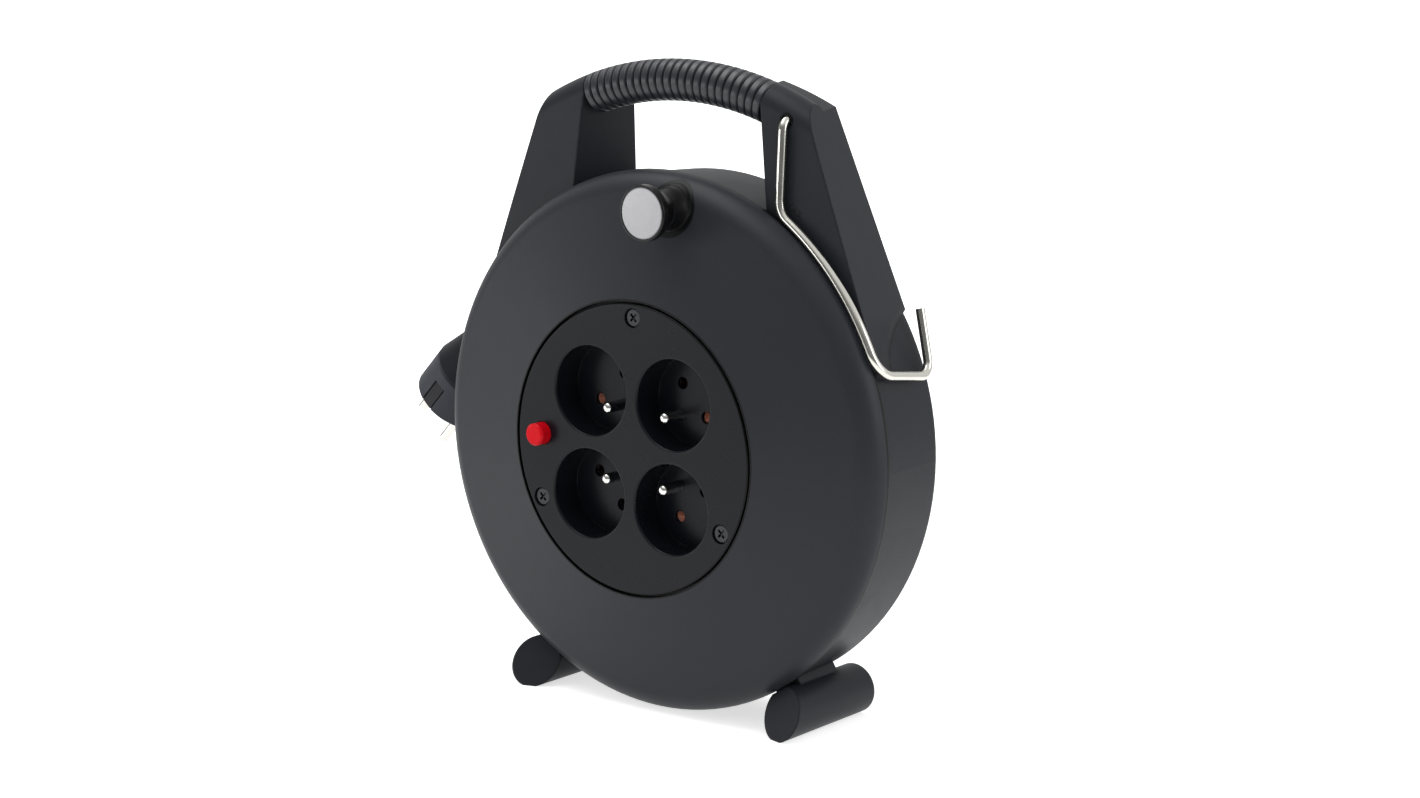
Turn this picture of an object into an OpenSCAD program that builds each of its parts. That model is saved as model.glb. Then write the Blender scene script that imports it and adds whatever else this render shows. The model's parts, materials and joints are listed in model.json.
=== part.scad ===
// Closed cord reel: a turning front flange with four recessed sockets and a crank knob,
// a dish housing with feet, a carrying handle on two posts and a swinging wire hook.
// The drum's axis runs along Y, the front looks towards -Y and Z is up. Sizes are in millimetres.

/* [Flange and drum] */
// Diameter of the turning front flange
flange_d = 240; // [228:1:252]
// Radius of the flange's rounded rim
rim_round = 12.5; // [10:0.5:15]
// Height of the shallow dome from the rim to the socket plate
dome_rise = 10.5; // [8:0.5:13]
// Wall thickness of the flange
flange_wall = 2.8; // [2.2:0.1:3.4]
// Outer diameter of the barrel that the cord winds on
barrel_d = 142; // [140:1:146]
// Wall thickness of the barrel
barrel_wall = 3; // [2.4:0.1:3.6]
// Gap between the rear flange's edge and the housing's wall
rear_flange_play = 3.6; // [3:0.1:6]
// Thickness of the drum's rear flange
rear_flange_t = 2.5; // [2:0.1:3]
// Turn of the drum at rest, counter-clockwise seen from the front
drum_turn = -1.7; // [-20:0.1:20]

/* [Housing] */
// Width of the seam between the flange and the housing
seam_gap = 0.7; // [0.5:0.1:1.5]
// How far the housing wall lies inside the flange's edge
wall_inset = 1.4; // [0.8:0.1:2.5]
// How much the housing wall draws in towards the back
wall_draft = 1.6; // [0:0.1:3]
// Depth of the housing from the seam to its back
housing_depth = 41.3; // [39:0.1:48]
// Wall thickness of the housing
housing_wall = 3; // [2.4:0.1:3.6]
// Radius of the housing's rear edge
rear_round = 4; // [2:0.5:6]
// Depth of the panels between the ribs on the back
panel_depth = 1.2; // [0.6:0.1:1.6]
// Number of stiffening ribs on the back
rib_count = 8; // [6:1:12]
// Width of a stiffening rib on the back
rib_w = 4; // [3:0.5:8]

/* [Spindle] */
// Diameter of the spindle that the drum turns on
spindle_d = 28; // [24:1:30]
// Radial play of the drum's bush on the spindle
spindle_play = 0.06; // [0.03:0.01:0.1]
// Wall thickness of the bush
bush_wall = 2.4; // [1.8:0.1:3]
// Thickness of the retaining washer
washer_t = 1.8; // [1.2:0.1:2.2]
// Shank diameter of the spindle screw
spindle_screw_d = 6; // [5:0.5:7]

/* [Socket plate] */
// Diameter of the socket plate
plate_d = 128.4; // [126:0.1:129]
// Width of the groove round the socket plate
plate_groove = 1; // [0.6:0.1:1.4]
// Thickness of the socket plate
plate_t = 3; // [2.5:0.1:3.5]
// Distance from the drum's axis to each socket's centre
socket_pitch_r = 32.5; // [32:0.1:34]
// Diameter of a socket recess
recess_d = 39.6; // [39:0.1:40.4]
// Depth of a socket recess
recess_depth = 15.2; // [14.5:0.1:16]
// Wall thickness of a socket cup
cup_wall = 1.8; // [1.4:0.1:2]
// Radius of the rounded mouth of a socket recess
mouth_round = 1; // [0.6:0.1:1.4]
// Distance between the two contact holes of a socket
contact_spacing = 19; // [18.5:0.1:19.5]
// Diameter of a contact hole
contact_hole_d = 5.4; // [5:0.1:5.8]
// Diameter of the earth pin
earth_pin_d = 4.8; // [4.6:0.1:5]
// Distance from the socket's centre to the earth pin
earth_offset = 10; // [9.5:0.1:10.5]
// Distance from the earth pin's tip to the plate's front
earth_tip_depth = 2; // [1:0.1:3]
// Distance from the drum's axis to each plate screw
plate_screw_r = 58; // [57.5:0.1:58.5]
// Diameter of the recess for a plate screw's head
plate_screw_recess_d = 8.6; // [8:0.1:9]

/* [Reset button] */
// Diameter of the reset button
button_d = 10; // [9:0.1:10.6]
// Play round the reset button
button_play = 0.25; // [0.15:0.05:0.4]
// How far the reset button stands out of the plate
button_proud = 5.8; // [4:0.1:7]
// Travel of the reset button
button_travel = 2.5; // [1.5:0.1:3]
// Distance from the drum's axis to the reset button
button_r = 50.5; // [49.5:0.1:51.5]

/* [Crank knob] */
// Distance from the flange's edge to the knob's axis
knob_inset = 13.9; // [13.5:0.1:16]
// Angle of the knob on the drum, from the X axis
knob_angle = 83.4; // [70:0.1:110]
// Diameter of the knob's head
knob_d = 24.2; // [22:0.1:26]
// Height of the knob's front above the flange's rim plane
knob_height = 20.5; // [18:0.1:24]
// Diameter of the knob's waist
knob_waist_d = 16.8; // [15:0.1:18]
// Height at which the knob leaves the boss on the flange
knob_seat = 8.8; // [7:0.1:10]
// Diameter of the knob's pin
knob_pin_d = 6; // [5:0.1:7]
// Radial play of the knob on its pin
knob_play = 0.08; // [0.04:0.01:0.1]
// Diameter of the disc in the knob's front
knob_cap_d = 22; // [20:0.1:22.4]

/* [Handle] */
// Height of the grip's centre line above the flange's edge
grip_rise = 37.4; // [34:0.1:48]
// Radius of the arch that the grip follows
arch_r = 152.3; // [140:0.1:180]
// Outer diameter of the ribbed grip
grip_d = 18.4; // [18:0.1:20]
// Diameter of the bar inside the grip
grip_core_d = 15; // [13:0.1:15.6]
// Number of ribs on the grip
grip_ribs = 24; // [20:1:26]
// Depth of the grooves between the ribs
groove_depth = 0.9; // [0.5:0.1:1.1]
// Depth of the arch's centre behind the flange's rim plane
grip_y = 27; // [24:0.1:30]
// Half the clear width between the posts at the grip
post_inner_x = 48.9; // [46:0.1:54]
// Lean of the posts' outer sides
post_lean = 20.3; // [18:0.1:23]
// Lean of the posts' inner sides
post_inner_lean = 5.7; // [3:0.1:8]
// Lean of the posts' front faces
post_front_lean = 3; // [1:0.1:4]
// Depth of the posts' backs behind the rim plane, at the grip
post_back_y = 45; // [43:0.1:48]
// Lean of the posts' backs
post_back_lean = 6.6; // [5:0.1:8]
// Taper of the posts' outer sides towards the back
post_side_taper = 8; // [4:0.1:10]
// Flare of the posts' inner sides towards the back
post_inner_flare = 14; // [8:0.1:15]
// Radius of the posts' outer top corners
post_corner_r = 11; // [6:0.1:12]

/* [Feet] */
// Diameter of a foot
foot_d = 22.2; // [20:0.1:24]
// Gap between the flange and the floor
floor_gap = 0.8; // [0.6:0.1:3]
// Depth of the flat under a foot
foot_flat = 0.4; // [0.3:0.1:0.8]
// Gap between a foot's side and the housing wall
foot_gap = 0.9; // [0.5:0.1:1.6]
// How far the feet reach behind the housing
foot_overhang = 4.5; // [2:0.1:8]
// Depth of the middle of a foot's slanted front behind the rim plane
foot_front_y = 5.8; // [4:0.1:8]
// Slant of a foot's front, towards the flange's rounded rim
foot_slant = 29; // [20:1:35]

/* [Wire hook] */
// Diameter of the hook's wire
wire_d = 4; // [3.6:0.1:4.4]
// Gap between the wire and the flange's edge
wire_gap = 0.4; // [0.3:0.1:1]
// Radial play of the wire in its bore
wire_play = 0.06; // [0.03:0.01:0.1]
// Distance from the grip's end to the hook's pivot
pivot_offset = 13.8; // [12:0.1:15]
// Angle at which the wire meets the flange's edge
wire_start_angle = 55; // [52:0.1:57]
// Angle at which the wire leaves the flange's edge
wire_end_angle = 26; // [24:0.1:28]
// Depth of the hook's back leg behind the rim plane
hook_back_y = 50; // [47:0.1:51]
// Length of the hook's back leg
hook_leg = 29; // [24:0.1:34]

/* [Cord and plug] */
// Diameter of the cord
cord_d = 8; // [7.4:0.1:8.4]
// Gap between the cord and the pieces that it passes
cord_gap = 0.3; // [0.2:0.05:0.4]
// Depth of the cord's outlet behind the rim plane
outlet_y = 42; // [40:0.1:42.5]
// Distance from the housing wall to the circle that the cord leaves on a tangent
lead_inset = 8.8; // [8.7:0.1:11]
// Slope of the cord at its outlet, from the horizontal
outlet_slope = 46.5; // [45:0.1:48]
// Wall thickness of the outlet bush
outlet_wall = 2.3; // [1.8:0.1:2.6]
// Length of the outlet bush
outlet_l = 16.8; // [15:0.1:18]
// Diameter of the plug's round body
plug_d = 37; // [35:0.1:37.4]
// Length of the plug's body with its neck
plug_l = 46; // [44:0.5:48]
// Length of the plug's straight sides
plug_side_l = 19.2; // [17:0.1:20]
// Diameter of the plug's pins
plug_pin_d = 4.8; // [4.6:0.1:5]
// Length of the plug's pins
plug_pin_l = 19; // [18.5:0.1:19.5]
// Distance between the plug's pins
plug_pin_spacing = 19; // [18.5:0.1:19.5]

/* [Hidden] */
$fn = 96;

charcoal = [0.20, 0.20, 0.22];
plate_black = [0.11, 0.11, 0.12];
inner_grey = [0.45, 0.46, 0.48];
steel = [0.75, 0.75, 0.76];
brass = [0.80, 0.62, 0.35];

// Places along the drum's axis, from the plane where the rim's round meets the front
flange_r = flange_d / 2;
flange_edge_y = rim_round + 0.5;
housing_front_y = flange_edge_y + seam_gap;
housing_back_y = housing_front_y + housing_depth;
back_inner_y = housing_back_y - housing_wall;
plate_front_y = -dome_rise;
plate_back_y = plate_front_y + plate_t;
cup_floor_y = plate_front_y + recess_depth;
cup_back_y = cup_floor_y + 2;
contact_l = 9.3;
carrier_t = 3;
carrier_front_y = cup_back_y + contact_l;
drum_floor_y = carrier_front_y + carrier_t;
drum_floor_t = 3.3;
lip_t = 3;
lip_front_y = drum_floor_y + drum_floor_t;
lip_back_y = lip_front_y + lip_t;
rear_flange_gap = 2.5;
rear_flange_y = back_inner_y - rear_flange_gap - rear_flange_t;

// Radii of the drum and the housing
pocket_r = plate_d / 2 + plate_groove;
barrel_r = barrel_d / 2;
barrel_inner_r = barrel_r - barrel_wall;
ledge_t = 2.5;
ledge_w = 3.6;
spindle_r = spindle_d / 2;
bush_inner_r = spindle_r + spindle_play;
bush_outer_r = bush_inner_r + bush_wall;
boss_wall = 3.4;
washer_r = spindle_r + 5;
spindle_front_y = lip_front_y - 0.3;
wall_front_r = flange_r - wall_inset;
wall_back_r = wall_front_r - wall_draft;
rear_flange_r = wall_back_r - housing_wall - rear_flange_play;
pocket_out_r = pocket_r + 5.8;

// The dome runs straight from the plate's pocket to a tangent on the rim's round
rim_centre = [flange_r - rim_round, rim_round];
dome_start = [pocket_r, -dome_rise];
dome_run = rim_centre - dome_start;
dome_slope = atan2(dome_run.y, dome_run.x) - asin(rim_round / norm(dome_run));
function dome_y(r) = -dome_rise + (r - pocket_r) * tan(dome_slope);
function arc(centre, r, a0, a1, n) =
    [for (i = [0:n]) centre + r * [cos(a0 + (a1 - a0) * i / n), sin(a0 + (a1 - a0) * i / n)]];

// Feet: tangent to a circle just outside the housing wall, with their flats on the floor
foot_r = foot_d / 2;
floor_z = -(flange_r + floor_gap);
foot_z = floor_z - foot_flat + foot_r;
foot_orbit_r = wall_front_r + foot_gap + foot_r;
foot_x = sqrt(foot_orbit_r * foot_orbit_r - foot_z * foot_z);
foot_angle = atan2(foot_z, foot_x);
foot_back_y = housing_back_y + foot_overhang;

// Handle: the arch's centre lies on the drum's plane of symmetry
grip_crown_z = flange_r + grip_rise;
arch_z = grip_crown_z - arch_r;
grip_r = grip_d / 2;
grip_core_r = grip_core_d / 2;
grip_half_angle = asin((post_inner_x - 0.5) / arch_r);
post_tube_r = grip_r - 0.1;
post_front_y = grip_y - post_tube_r;
post_top_r = arch_r + 6.2;
grip_z = arch_z + sqrt(arch_r * arch_r - post_inner_x * post_inner_x);

// Hook: the pivot lies on the arch's centre line, in the right-hand post
wire_r = wire_d / 2;
wire_orbit_r = flange_r + wire_gap + wire_r;
pivot_x = post_inner_x + pivot_offset;
pivot_z = arch_z + sqrt(arch_r * arch_r - pivot_x * pivot_x);
wire_front_y = grip_y - post_tube_r - wire_gap - wire_r;
wire_low_y = flange_edge_y - wire_r - 0.2;
clip_r = 4.6;
clip_y = post_back_y + (grip_z - pivot_z + clip_r) * tan(post_back_lean) + 0.1;

// Crank knob
knob_r = flange_r - knob_inset;
knob_head_r = knob_d / 2;
knob_waist_r = knob_waist_d / 2;
knob_pin_r = knob_pin_d / 2;
knob_gap = 0.3;
knob_cap_t = 2.2;
knob_boss_back_y = 4.4;
knob_pin_back_y = knob_boss_back_y - 0.6;
knob_shoulder_t = 5.5;
pin_head_t = 2;

// Cord: a straight lead leaves the winding on a tangent and passes the housing wall
cord_r = cord_d / 2;
outlet_r = cord_r + cord_gap + outlet_wall;
plug_r = plug_d / 2;
lead_dir = [-cos(outlet_slope), -sin(outlet_slope)];
lead_side = [-sin(outlet_slope), cos(outlet_slope)];
lead_tangent_r = wall_front_r - lead_inset;
wall_run = sqrt(wall_front_r * wall_front_r - lead_tangent_r * lead_tangent_r);
plug_waist_r = plug_r - 4.3;
plug_pin_root_r = plug_pin_d / 2 - 0.3;
outlet_out = 6.8;
lead_l = wall_run + 17;
lead_points = [for (run = [0:10:lead_l - 5]) run];
winding_r = lead_tangent_r - cord_r - 0.6;
winding_front_y = knob_boss_back_y + 0.6;
winding_back_y = rear_flange_y - 1;
function lead_at(run) = lead_side * lead_tangent_r + lead_dir * run;

origin_y = (foot_back_y - knob_height - 0.5) / 2;

// ---- Helpers ----

// Places the reel with its feet on z = 0 and the middle of its depth on y = 0
module reel() {
    translate([0, -origin_y, -floor_z]) children();
}

// Places what turns with the drum
module drum() {
    reel() rotate([0, -drum_turn, 0]) children();
}

// Turns a solid that stands on the XY plane to start at y and point towards +Y
module along_y(y) {
    translate([0, y, 0]) rotate([-90, 0, 0]) children();
}

// Revolves an outline, given as radius and depth, round the drum's axis
module revolve_y() {
    rotate([-90, 0, 0]) rotate_extrude($fn = 180) children();
}

// Extrudes an outline in X and Z from depth y0 to depth y1
module extrude_y(y0, y1) {
    translate([0, y1, 0]) rotate([90, 0, 0]) linear_extrude(y1 - y0) children();
}

// Places a child at a radius and an angle from the X axis
module polar(r, a) {
    translate([r * cos(a), 0, r * sin(a)]) children();
}

module pin_y(r, y0, y1) {
    along_y(y0) cylinder(r = r, h = y1 - y0);
}

module tube_y(r_out, r_in, y0, y1) {
    difference() {
        pin_y(r_out, y0, y1);
        pin_y(r_in, y0 - 1, y1 + 1);
    }
}

// Cross recess cut into a screw's head
module cross_cut(y, size) {
    for (turn = [45, 135])
        rotate([0, turn, 0])
            translate([-size / 2, y - 0.01, -0.5]) cube([size, 1.1, 1]);
}

// ---- Housing ----

module housing_outline() {
    wall_end = housing_back_y - rear_round;
    round_centre = [wall_back_r - rear_round, wall_end];
    polygon(concat(
        [[0, housing_front_y], [wall_front_r, housing_front_y]],
        arc(round_centre, rear_round, 0, 90, 8),
        [[0, housing_back_y]]
    ));
}

// The housing wall's outer cone, run on past both ends, against which the posts and feet seat
module wall_cone() {
    run_on = 5;
    wall_l = housing_depth - rear_round;
    draft = run_on * wall_draft / wall_l;
    along_y(housing_front_y - run_on)
        cylinder(r1 = wall_front_r + draft, r2 = wall_back_r - 2 * draft, h = wall_l + 3 * run_on);
}

module back_panels() {
    panel_inner_r = spindle_r + 14;
    panel_outer_r = wall_back_r - 14;
    difference() {
        tube_y(panel_outer_r, panel_inner_r, housing_back_y - panel_depth, housing_back_y + 1);
        for (i = [0:rib_count - 1])
            rotate([0, i * 360 / rib_count, 0])
                translate([0, housing_back_y - panel_depth - 1, -rib_w / 2])
                    cube([wall_back_r, panel_depth + 3, rib_w]);
    }
}

module lead_frame(run) {
    point = lead_at(run);
    translate([point.x, outlet_y, point.y]) rotate([0, 90 - outlet_slope, 0]) children();
}

// Hole for the outlet bush, slanted through the wall, with a narrower channel that the cord
// follows inside it from the room round the winding
module outlet_hole() {
    hole_l = 2 * outlet_l - outlet_out + 0.1;
    channel_start = 9.5;
    lead_frame(wall_run + outlet_l) cylinder(r = outlet_r, h = hole_l);
    lead_frame(wall_run) cylinder(r = cord_r + cord_gap + 0.1, h = wall_run - channel_start);
}

module rear_housing() {
    color(charcoal) reel() difference() {
            revolve_y() housing_outline();
            // Room for the drum, with the spindle left standing in the middle
            revolve_y() polygon([
                [0, housing_front_y - 1],
                [wall_front_r - housing_wall, housing_front_y - 1],
                [wall_back_r - housing_wall, back_inner_y - 2],
                [wall_back_r - housing_wall - 2, back_inner_y],
                [spindle_r, back_inner_y],
                [spindle_r, spindle_front_y],
                [0, spindle_front_y]
            ]);
            pin_y(spindle_screw_d / 2, spindle_front_y - 1, back_inner_y);
            back_panels();
            outlet_hole();
            pin_y(5, housing_back_y - 1.5, housing_back_y + 1);
    }
}

module outlet_bush() {
    color(charcoal) reel() lead_frame(wall_run + outlet_out) difference() {
        cylinder(r = outlet_r, h = outlet_l);
        translate([0, 0, -1]) cylinder(r = cord_r + cord_gap, h = outlet_l + 2);
    }
}

module foot(side) {
    front_cut = 40;
    reel() difference() {
        union() {
            translate([side * foot_x, 0, foot_z]) pin_y(foot_r, -5, foot_back_y);
            rotate([0, -(side > 0 ? foot_angle : 180 - foot_angle), 0])
                translate([wall_back_r - 4, housing_front_y + 4, -7])
                    cube([foot_r + 2, housing_depth - 14, 14]);
        }
        // Slanted front, parallel to the rim's round
        translate([side * foot_x, foot_front_y, foot_z])
            rotate([0, -(side > 0 ? foot_angle : 180 - foot_angle), 0])
                rotate([0, 0, -foot_slant])
                    translate([-front_cut, -front_cut, -front_cut])
                        cube([2 * front_cut, front_cut, 2 * front_cut]);
        // Room for the turning flange
        pin_y(flange_r + 0.5, -20, housing_front_y);
        // Flat that rests on the floor
        translate([side * foot_x - foot_d, -20, floor_z - foot_d])
            cube([2 * foot_d, 120, foot_d]);
        wall_cone();
    }
}

module left_foot() {
    color(charcoal) foot(-1);
}

module right_foot() {
    color(charcoal) foot(1);
}

// ---- Handle ----

// Outline of one post from the front, rounded where its side meets the top
module post_outline() {
    top_r = arch_r + post_tube_r + 0.8;
    side_normal = [cos(post_lean), sin(post_lean)];
    side_dir = [-sin(post_lean), cos(post_lean)];
    corner_turn = acos((flange_r - post_corner_r - arch_z * sin(post_lean)) / (top_r - post_corner_r));
    corner_dir = [cos(post_lean + corner_turn), sin(post_lean + corner_turn)];
    corner = [0, arch_z] + corner_dir * (top_r - post_corner_r);
    reach = 2 * post_corner_r;
    difference() {
        intersection() {
            translate([0, arch_z]) circle(r = top_r);
            polygon([
                side_normal * flange_r,
                side_normal * flange_r + side_dir * 200,
                [20, 200],
                [20, 30]
            ]);
        }
        difference() {
            polygon([
                corner,
                corner + side_normal * reach,
                corner + (side_normal + corner_dir) * reach,
                corner + corner_dir * reach
            ]);
            translate(corner) circle(r = post_corner_r);
        }
    }
}

// Section of the posts, as radius from the arch's centre and depth. The front face leans back
// and runs into the round bar, whose crown ends at the top of the block behind it.
module post_section() {
    tangent_a = post_front_lean - 90;
    crown_end_a = acos((post_top_r - arch_r) / post_tube_r);
    bar_centre = [arch_r, grip_y];
    tangent = bar_centre + post_tube_r * [cos(tangent_a), sin(tangent_a)];
    low_r = arch_r / 2;
    far_y = 2 * post_back_y;
    polygon(concat(
        [[low_r, far_y], [low_r, tangent.y - (tangent.x - low_r) * tan(post_front_lean)]],
        arc(bar_centre, post_tube_r, tangent_a, crown_end_a, 30),
        [[post_top_r, far_y]]
    ));
}

// Half-spaces beyond a post's sides, which taper and flare towards the back
module beyond_outer_side() {
    far = 300;
    rotate([0, -post_lean, 0]) translate([flange_r, housing_front_y, 0])
        rotate([0, 0, post_side_taper])
            translate([0, -far, -far]) cube([far, 2 * far, 2 * far]);
}

module beyond_inner_side() {
    far = 300;
    translate([post_inner_x, post_front_y, grip_z])
        rotate([0, -post_inner_lean, 0]) rotate([0, 0, post_inner_flare])
            translate([-far, -far, -far]) cube([far, 2 * far, 2 * far]);
}

module arch_tube(r, from_angle, to_angle) {
    translate([0, grip_y, arch_z]) rotate([-90, 0, 0]) rotate([0, 0, from_angle - 90])
        rotate_extrude(angle = to_angle - from_angle, $fn = 180)
            translate([arch_r, 0]) circle(r = r, $fn = 48);
}

// One post, with the round of the grip's bar running out through its top
module post() {
    far = 300;
    difference() {
        intersection() {
            translate([0, 0, arch_z]) revolve_y() post_section();
            extrude_y(housing_front_y, housing_back_y) post_outline();
        }
        // Back, leaning forwards towards the grip
        translate([0, post_back_y, grip_z]) rotate([post_back_lean, 0, 0])
            translate([0, 0, -far]) cube([far, far, 2 * far]);
        beyond_inner_side();
        beyond_outer_side();
        // Seat of the grip's end
        arch_tube(grip_r + 0.2, -grip_half_angle, grip_half_angle);
        wall_cone();
    }
}

// Two nubs on the outer side of the wire's bend, behind the wire
module hook_nubs() {
    nub_y = wire_low_y + 2.2 + wire_r + 0.6;
    for (along = [2.8, 6])
        translate([pivot_x, 0, shoulder_z]) rotate([0, 90 - wire_start_angle, 0])
            translate([along, 0, wire_r + 2.3]) pin_y(0.8, nub_y, nub_y + 4.4);
}

module left_post() {
    color(charcoal) reel() difference() {
        mirror([1, 0, 0]) post();
        outlet_hole();
    }
}

module right_post() {
    color(charcoal) reel() difference() {
        union() {
            post();
            hook_nubs();
        }
        translate([pivot_x, 0, pivot_z]) {
            pin_y(wire_r + wire_play, 0, 80);
            // Wider mouth, where the wire's bend turns in
            pin_y(wire_r + 1.2, 0, post_front_y + 1.4);
        }
    }
}

module grip_bar() {
    color(charcoal) reel() arch_tube(grip_core_r, -grip_half_angle, grip_half_angle);
}

// Ribbed sleeve swept along the arch. Each rib has a groove ring and two shoulder rings.
grip_sides = 20;
function grip_ring(angle, r) =
    [for (i = [0:grip_sides - 1])
        let (a = 360 * i / grip_sides, reach = arch_r + r * cos(a))
            [reach * sin(angle), grip_y + r * sin(a), arch_z + reach * cos(angle)]];
function rib_angle(step) = -grip_half_angle + 2 * grip_half_angle * step / grip_ribs;
grip_outer = [for (i = [0:grip_ribs - 1]) for (part = [[0, groove_depth], [0.24, 0], [0.76, 0]])
    grip_ring(rib_angle(i + part[0]), grip_r - part[1])];
grip_outer_rings = concat(grip_outer, [grip_ring(rib_angle(grip_ribs), grip_r - groove_depth)]);
grip_bore_r = (grip_core_r + 0.02) / cos(180 / grip_sides);
grip_inner_rings = [for (i = [0:12]) grip_ring(rib_angle(grip_ribs * (1 - i / 12)), grip_bore_r)];

module grip_sleeve() {
    rings = concat(grip_outer_rings, grip_inner_rings);
    points = [for (ring = rings) each ring];
    n = grip_sides;
    faces = [for (k = [0:len(rings) - 1]) for (i = [0:n - 1]) for (half = [0, 1])
        let (a = k * n + i, b = k * n + (i + 1) % n,
             next = ((k + 1) % len(rings)) * n, c = next + (i + 1) % n, d = next + i)
            half == 0 ? [a, b, c] : [a, c, d]];
    color([0.16, 0.16, 0.17]) reel() polyhedron(points, faces);
}

// ---- Hook ----

function unit(v) = v / norm(v);

// A bent round bar through the given corners, each rounded to its own radius. The straight
// runs lap the bends a little and are a hair thicker, so that they join into one solid.
module bent_wire(corners, radii, r) {
    lap = 0.1;
    last = len(corners) - 1;
    dirs = [for (i = [0:last - 1]) unit(corners[i + 1] - corners[i])];
    turns = [for (i = [0:last]) i == 0 || i == last ? 0 : acos(dirs[i - 1] * dirs[i])];
    setbacks = [for (i = [0:last]) radii[i] * tan(turns[i] / 2)];
    for (i = [0:last - 1]) {
        lap_0 = i == 0 ? 0 : lap;
        lap_1 = i == last - 1 ? 0 : lap;
        start = corners[i] + dirs[i] * (setbacks[i] - lap_0);
        run = norm(corners[i + 1] - corners[i]) - setbacks[i] - setbacks[i + 1] + lap_0 + lap_1;
        side = unit(cross(dirs[i], abs(dirs[i].y) > 0.9 ? [1, 0, 0] : [0, 1, 0]));
        up = cross(dirs[i], side);
        multmatrix([
            [side.x, up.x, dirs[i].x, start.x],
            [side.y, up.y, dirs[i].y, start.y],
            [side.z, up.z, dirs[i].z, start.z],
            [0, 0, 0, 1]
        ]) cylinder(r = r + 0.01, h = run, $fn = 32);
    }
    for (i = [1:last - 1]) {
        axis = unit(cross(dirs[i - 1], dirs[i]));
        inward = cross(axis, dirs[i - 1]);
        start = corners[i] - dirs[i - 1] * setbacks[i];
        centre = start + inward * radii[i];
        multmatrix([
            [-inward.x, dirs[i - 1].x, axis.x, centre.x],
            [-inward.y, dirs[i - 1].y, axis.y, centre.y],
            [-inward.z, dirs[i - 1].z, axis.z, centre.z],
            [0, 0, 0, 1]
        ]) rotate_extrude(angle = turns[i], $fn = 180)
            translate([radii[i], 0]) circle(r = r, $fn = 32);
    }
}

// Corners of the hook. The long bend runs round the flange, and its tangents meet at the middle angle.
wire_mid_angle = (wire_start_angle + wire_end_angle) / 2;
wire_mid_r = wire_orbit_r / cos((wire_start_angle - wire_end_angle) / 2);
leg_fall = (wire_orbit_r * cos(wire_start_angle) - pivot_x) / sin(wire_start_angle);
shoulder_z = wire_orbit_r * sin(wire_start_angle) + leg_fall * cos(wire_start_angle);
toe = wire_orbit_r * [cos(wire_end_angle), sin(wire_end_angle)]
    + 13 * [sin(wire_end_angle), -cos(wire_end_angle)];
heel = toe + [-0.8, -5.6];
leg_dir = unit([-5.4, 0, 27.5]);
hook_corners = [
    [pivot_x, clip_y + 3, pivot_z],
    [pivot_x, wire_front_y, pivot_z],
    [pivot_x, wire_low_y + 2.2, shoulder_z],
    [wire_mid_r * cos(wire_mid_angle), wire_low_y, wire_mid_r * sin(wire_mid_angle)],
    [toe.x, wire_low_y, toe.y],
    [heel.x, hook_back_y, heel.y],
    [heel.x, hook_back_y, heel.y] + leg_dir * hook_leg
];

module wire_hook() {
    color(steel) reel() bent_wire(hook_corners, [0, 4, 10, wire_orbit_r, 11, 6.5, 0], wire_r);
}

module hook_clip() {
    color(steel) reel() translate([pivot_x, 0, pivot_z]) tube_y(clip_r, wire_r + 0.02, clip_y, clip_y + 1);
}

// ---- Spindle ----

module retaining_washer() {
    front = spindle_front_y - washer_t;
    color(steel) reel() tube_y(washer_r, spindle_screw_d / 2, front, spindle_front_y);
}

module spindle_screw() {
    head_back = spindle_front_y - washer_t;
    color(steel) reel() difference() {
        union() {
            pin_y(spindle_screw_d / 2, head_back - 0.5, head_back + 18);
            pin_y(spindle_screw_d, head_back - 2.2, head_back);
        }
        cross_cut(head_back - 2.2, 7);
    }
}

// ---- Drum ----

module flange_outline() {
    skin = flange_wall;
    tangent_a = dome_slope - 90;
    polygon(concat(
        [dome_start],
        arc(rim_centre, rim_round, tangent_a, 0, 28),
        [[flange_r, flange_edge_y], [flange_r - skin, flange_edge_y]],
        arc(rim_centre, rim_round - skin, 0, tangent_a, 14),
        [dome_start + [0, skin / cos(dome_slope)]]
    ));
}

module drum_outline() {
    flange_outline();
    // Pocket and ledge for the socket plate
    polygon([
        dome_start,
        [pocket_out_r, dome_y(pocket_out_r)],
        [pocket_out_r, plate_back_y + ledge_t],
        [pocket_r - ledge_w, plate_back_y + ledge_t],
        [pocket_r - ledge_w, plate_back_y],
        [pocket_r, plate_back_y]
    ]);
    // Barrel, floor, lip and bearing boss
    translate([barrel_inner_r, plate_back_y])
        square([barrel_wall, rear_flange_y - plate_back_y]);
    translate([washer_r + 2, drum_floor_y])
        square([barrel_r - washer_r - 2, drum_floor_t]);
    translate([bush_inner_r + 0.3, lip_front_y])
        square([washer_r + 6 - bush_inner_r, lip_t]);
    translate([bush_outer_r, lip_back_y - 0.5])
        square([boss_wall, rear_flange_y - lip_back_y + 0.5]);
}

drum_screw_r = 45;
drum_screw_count = 4;

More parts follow.
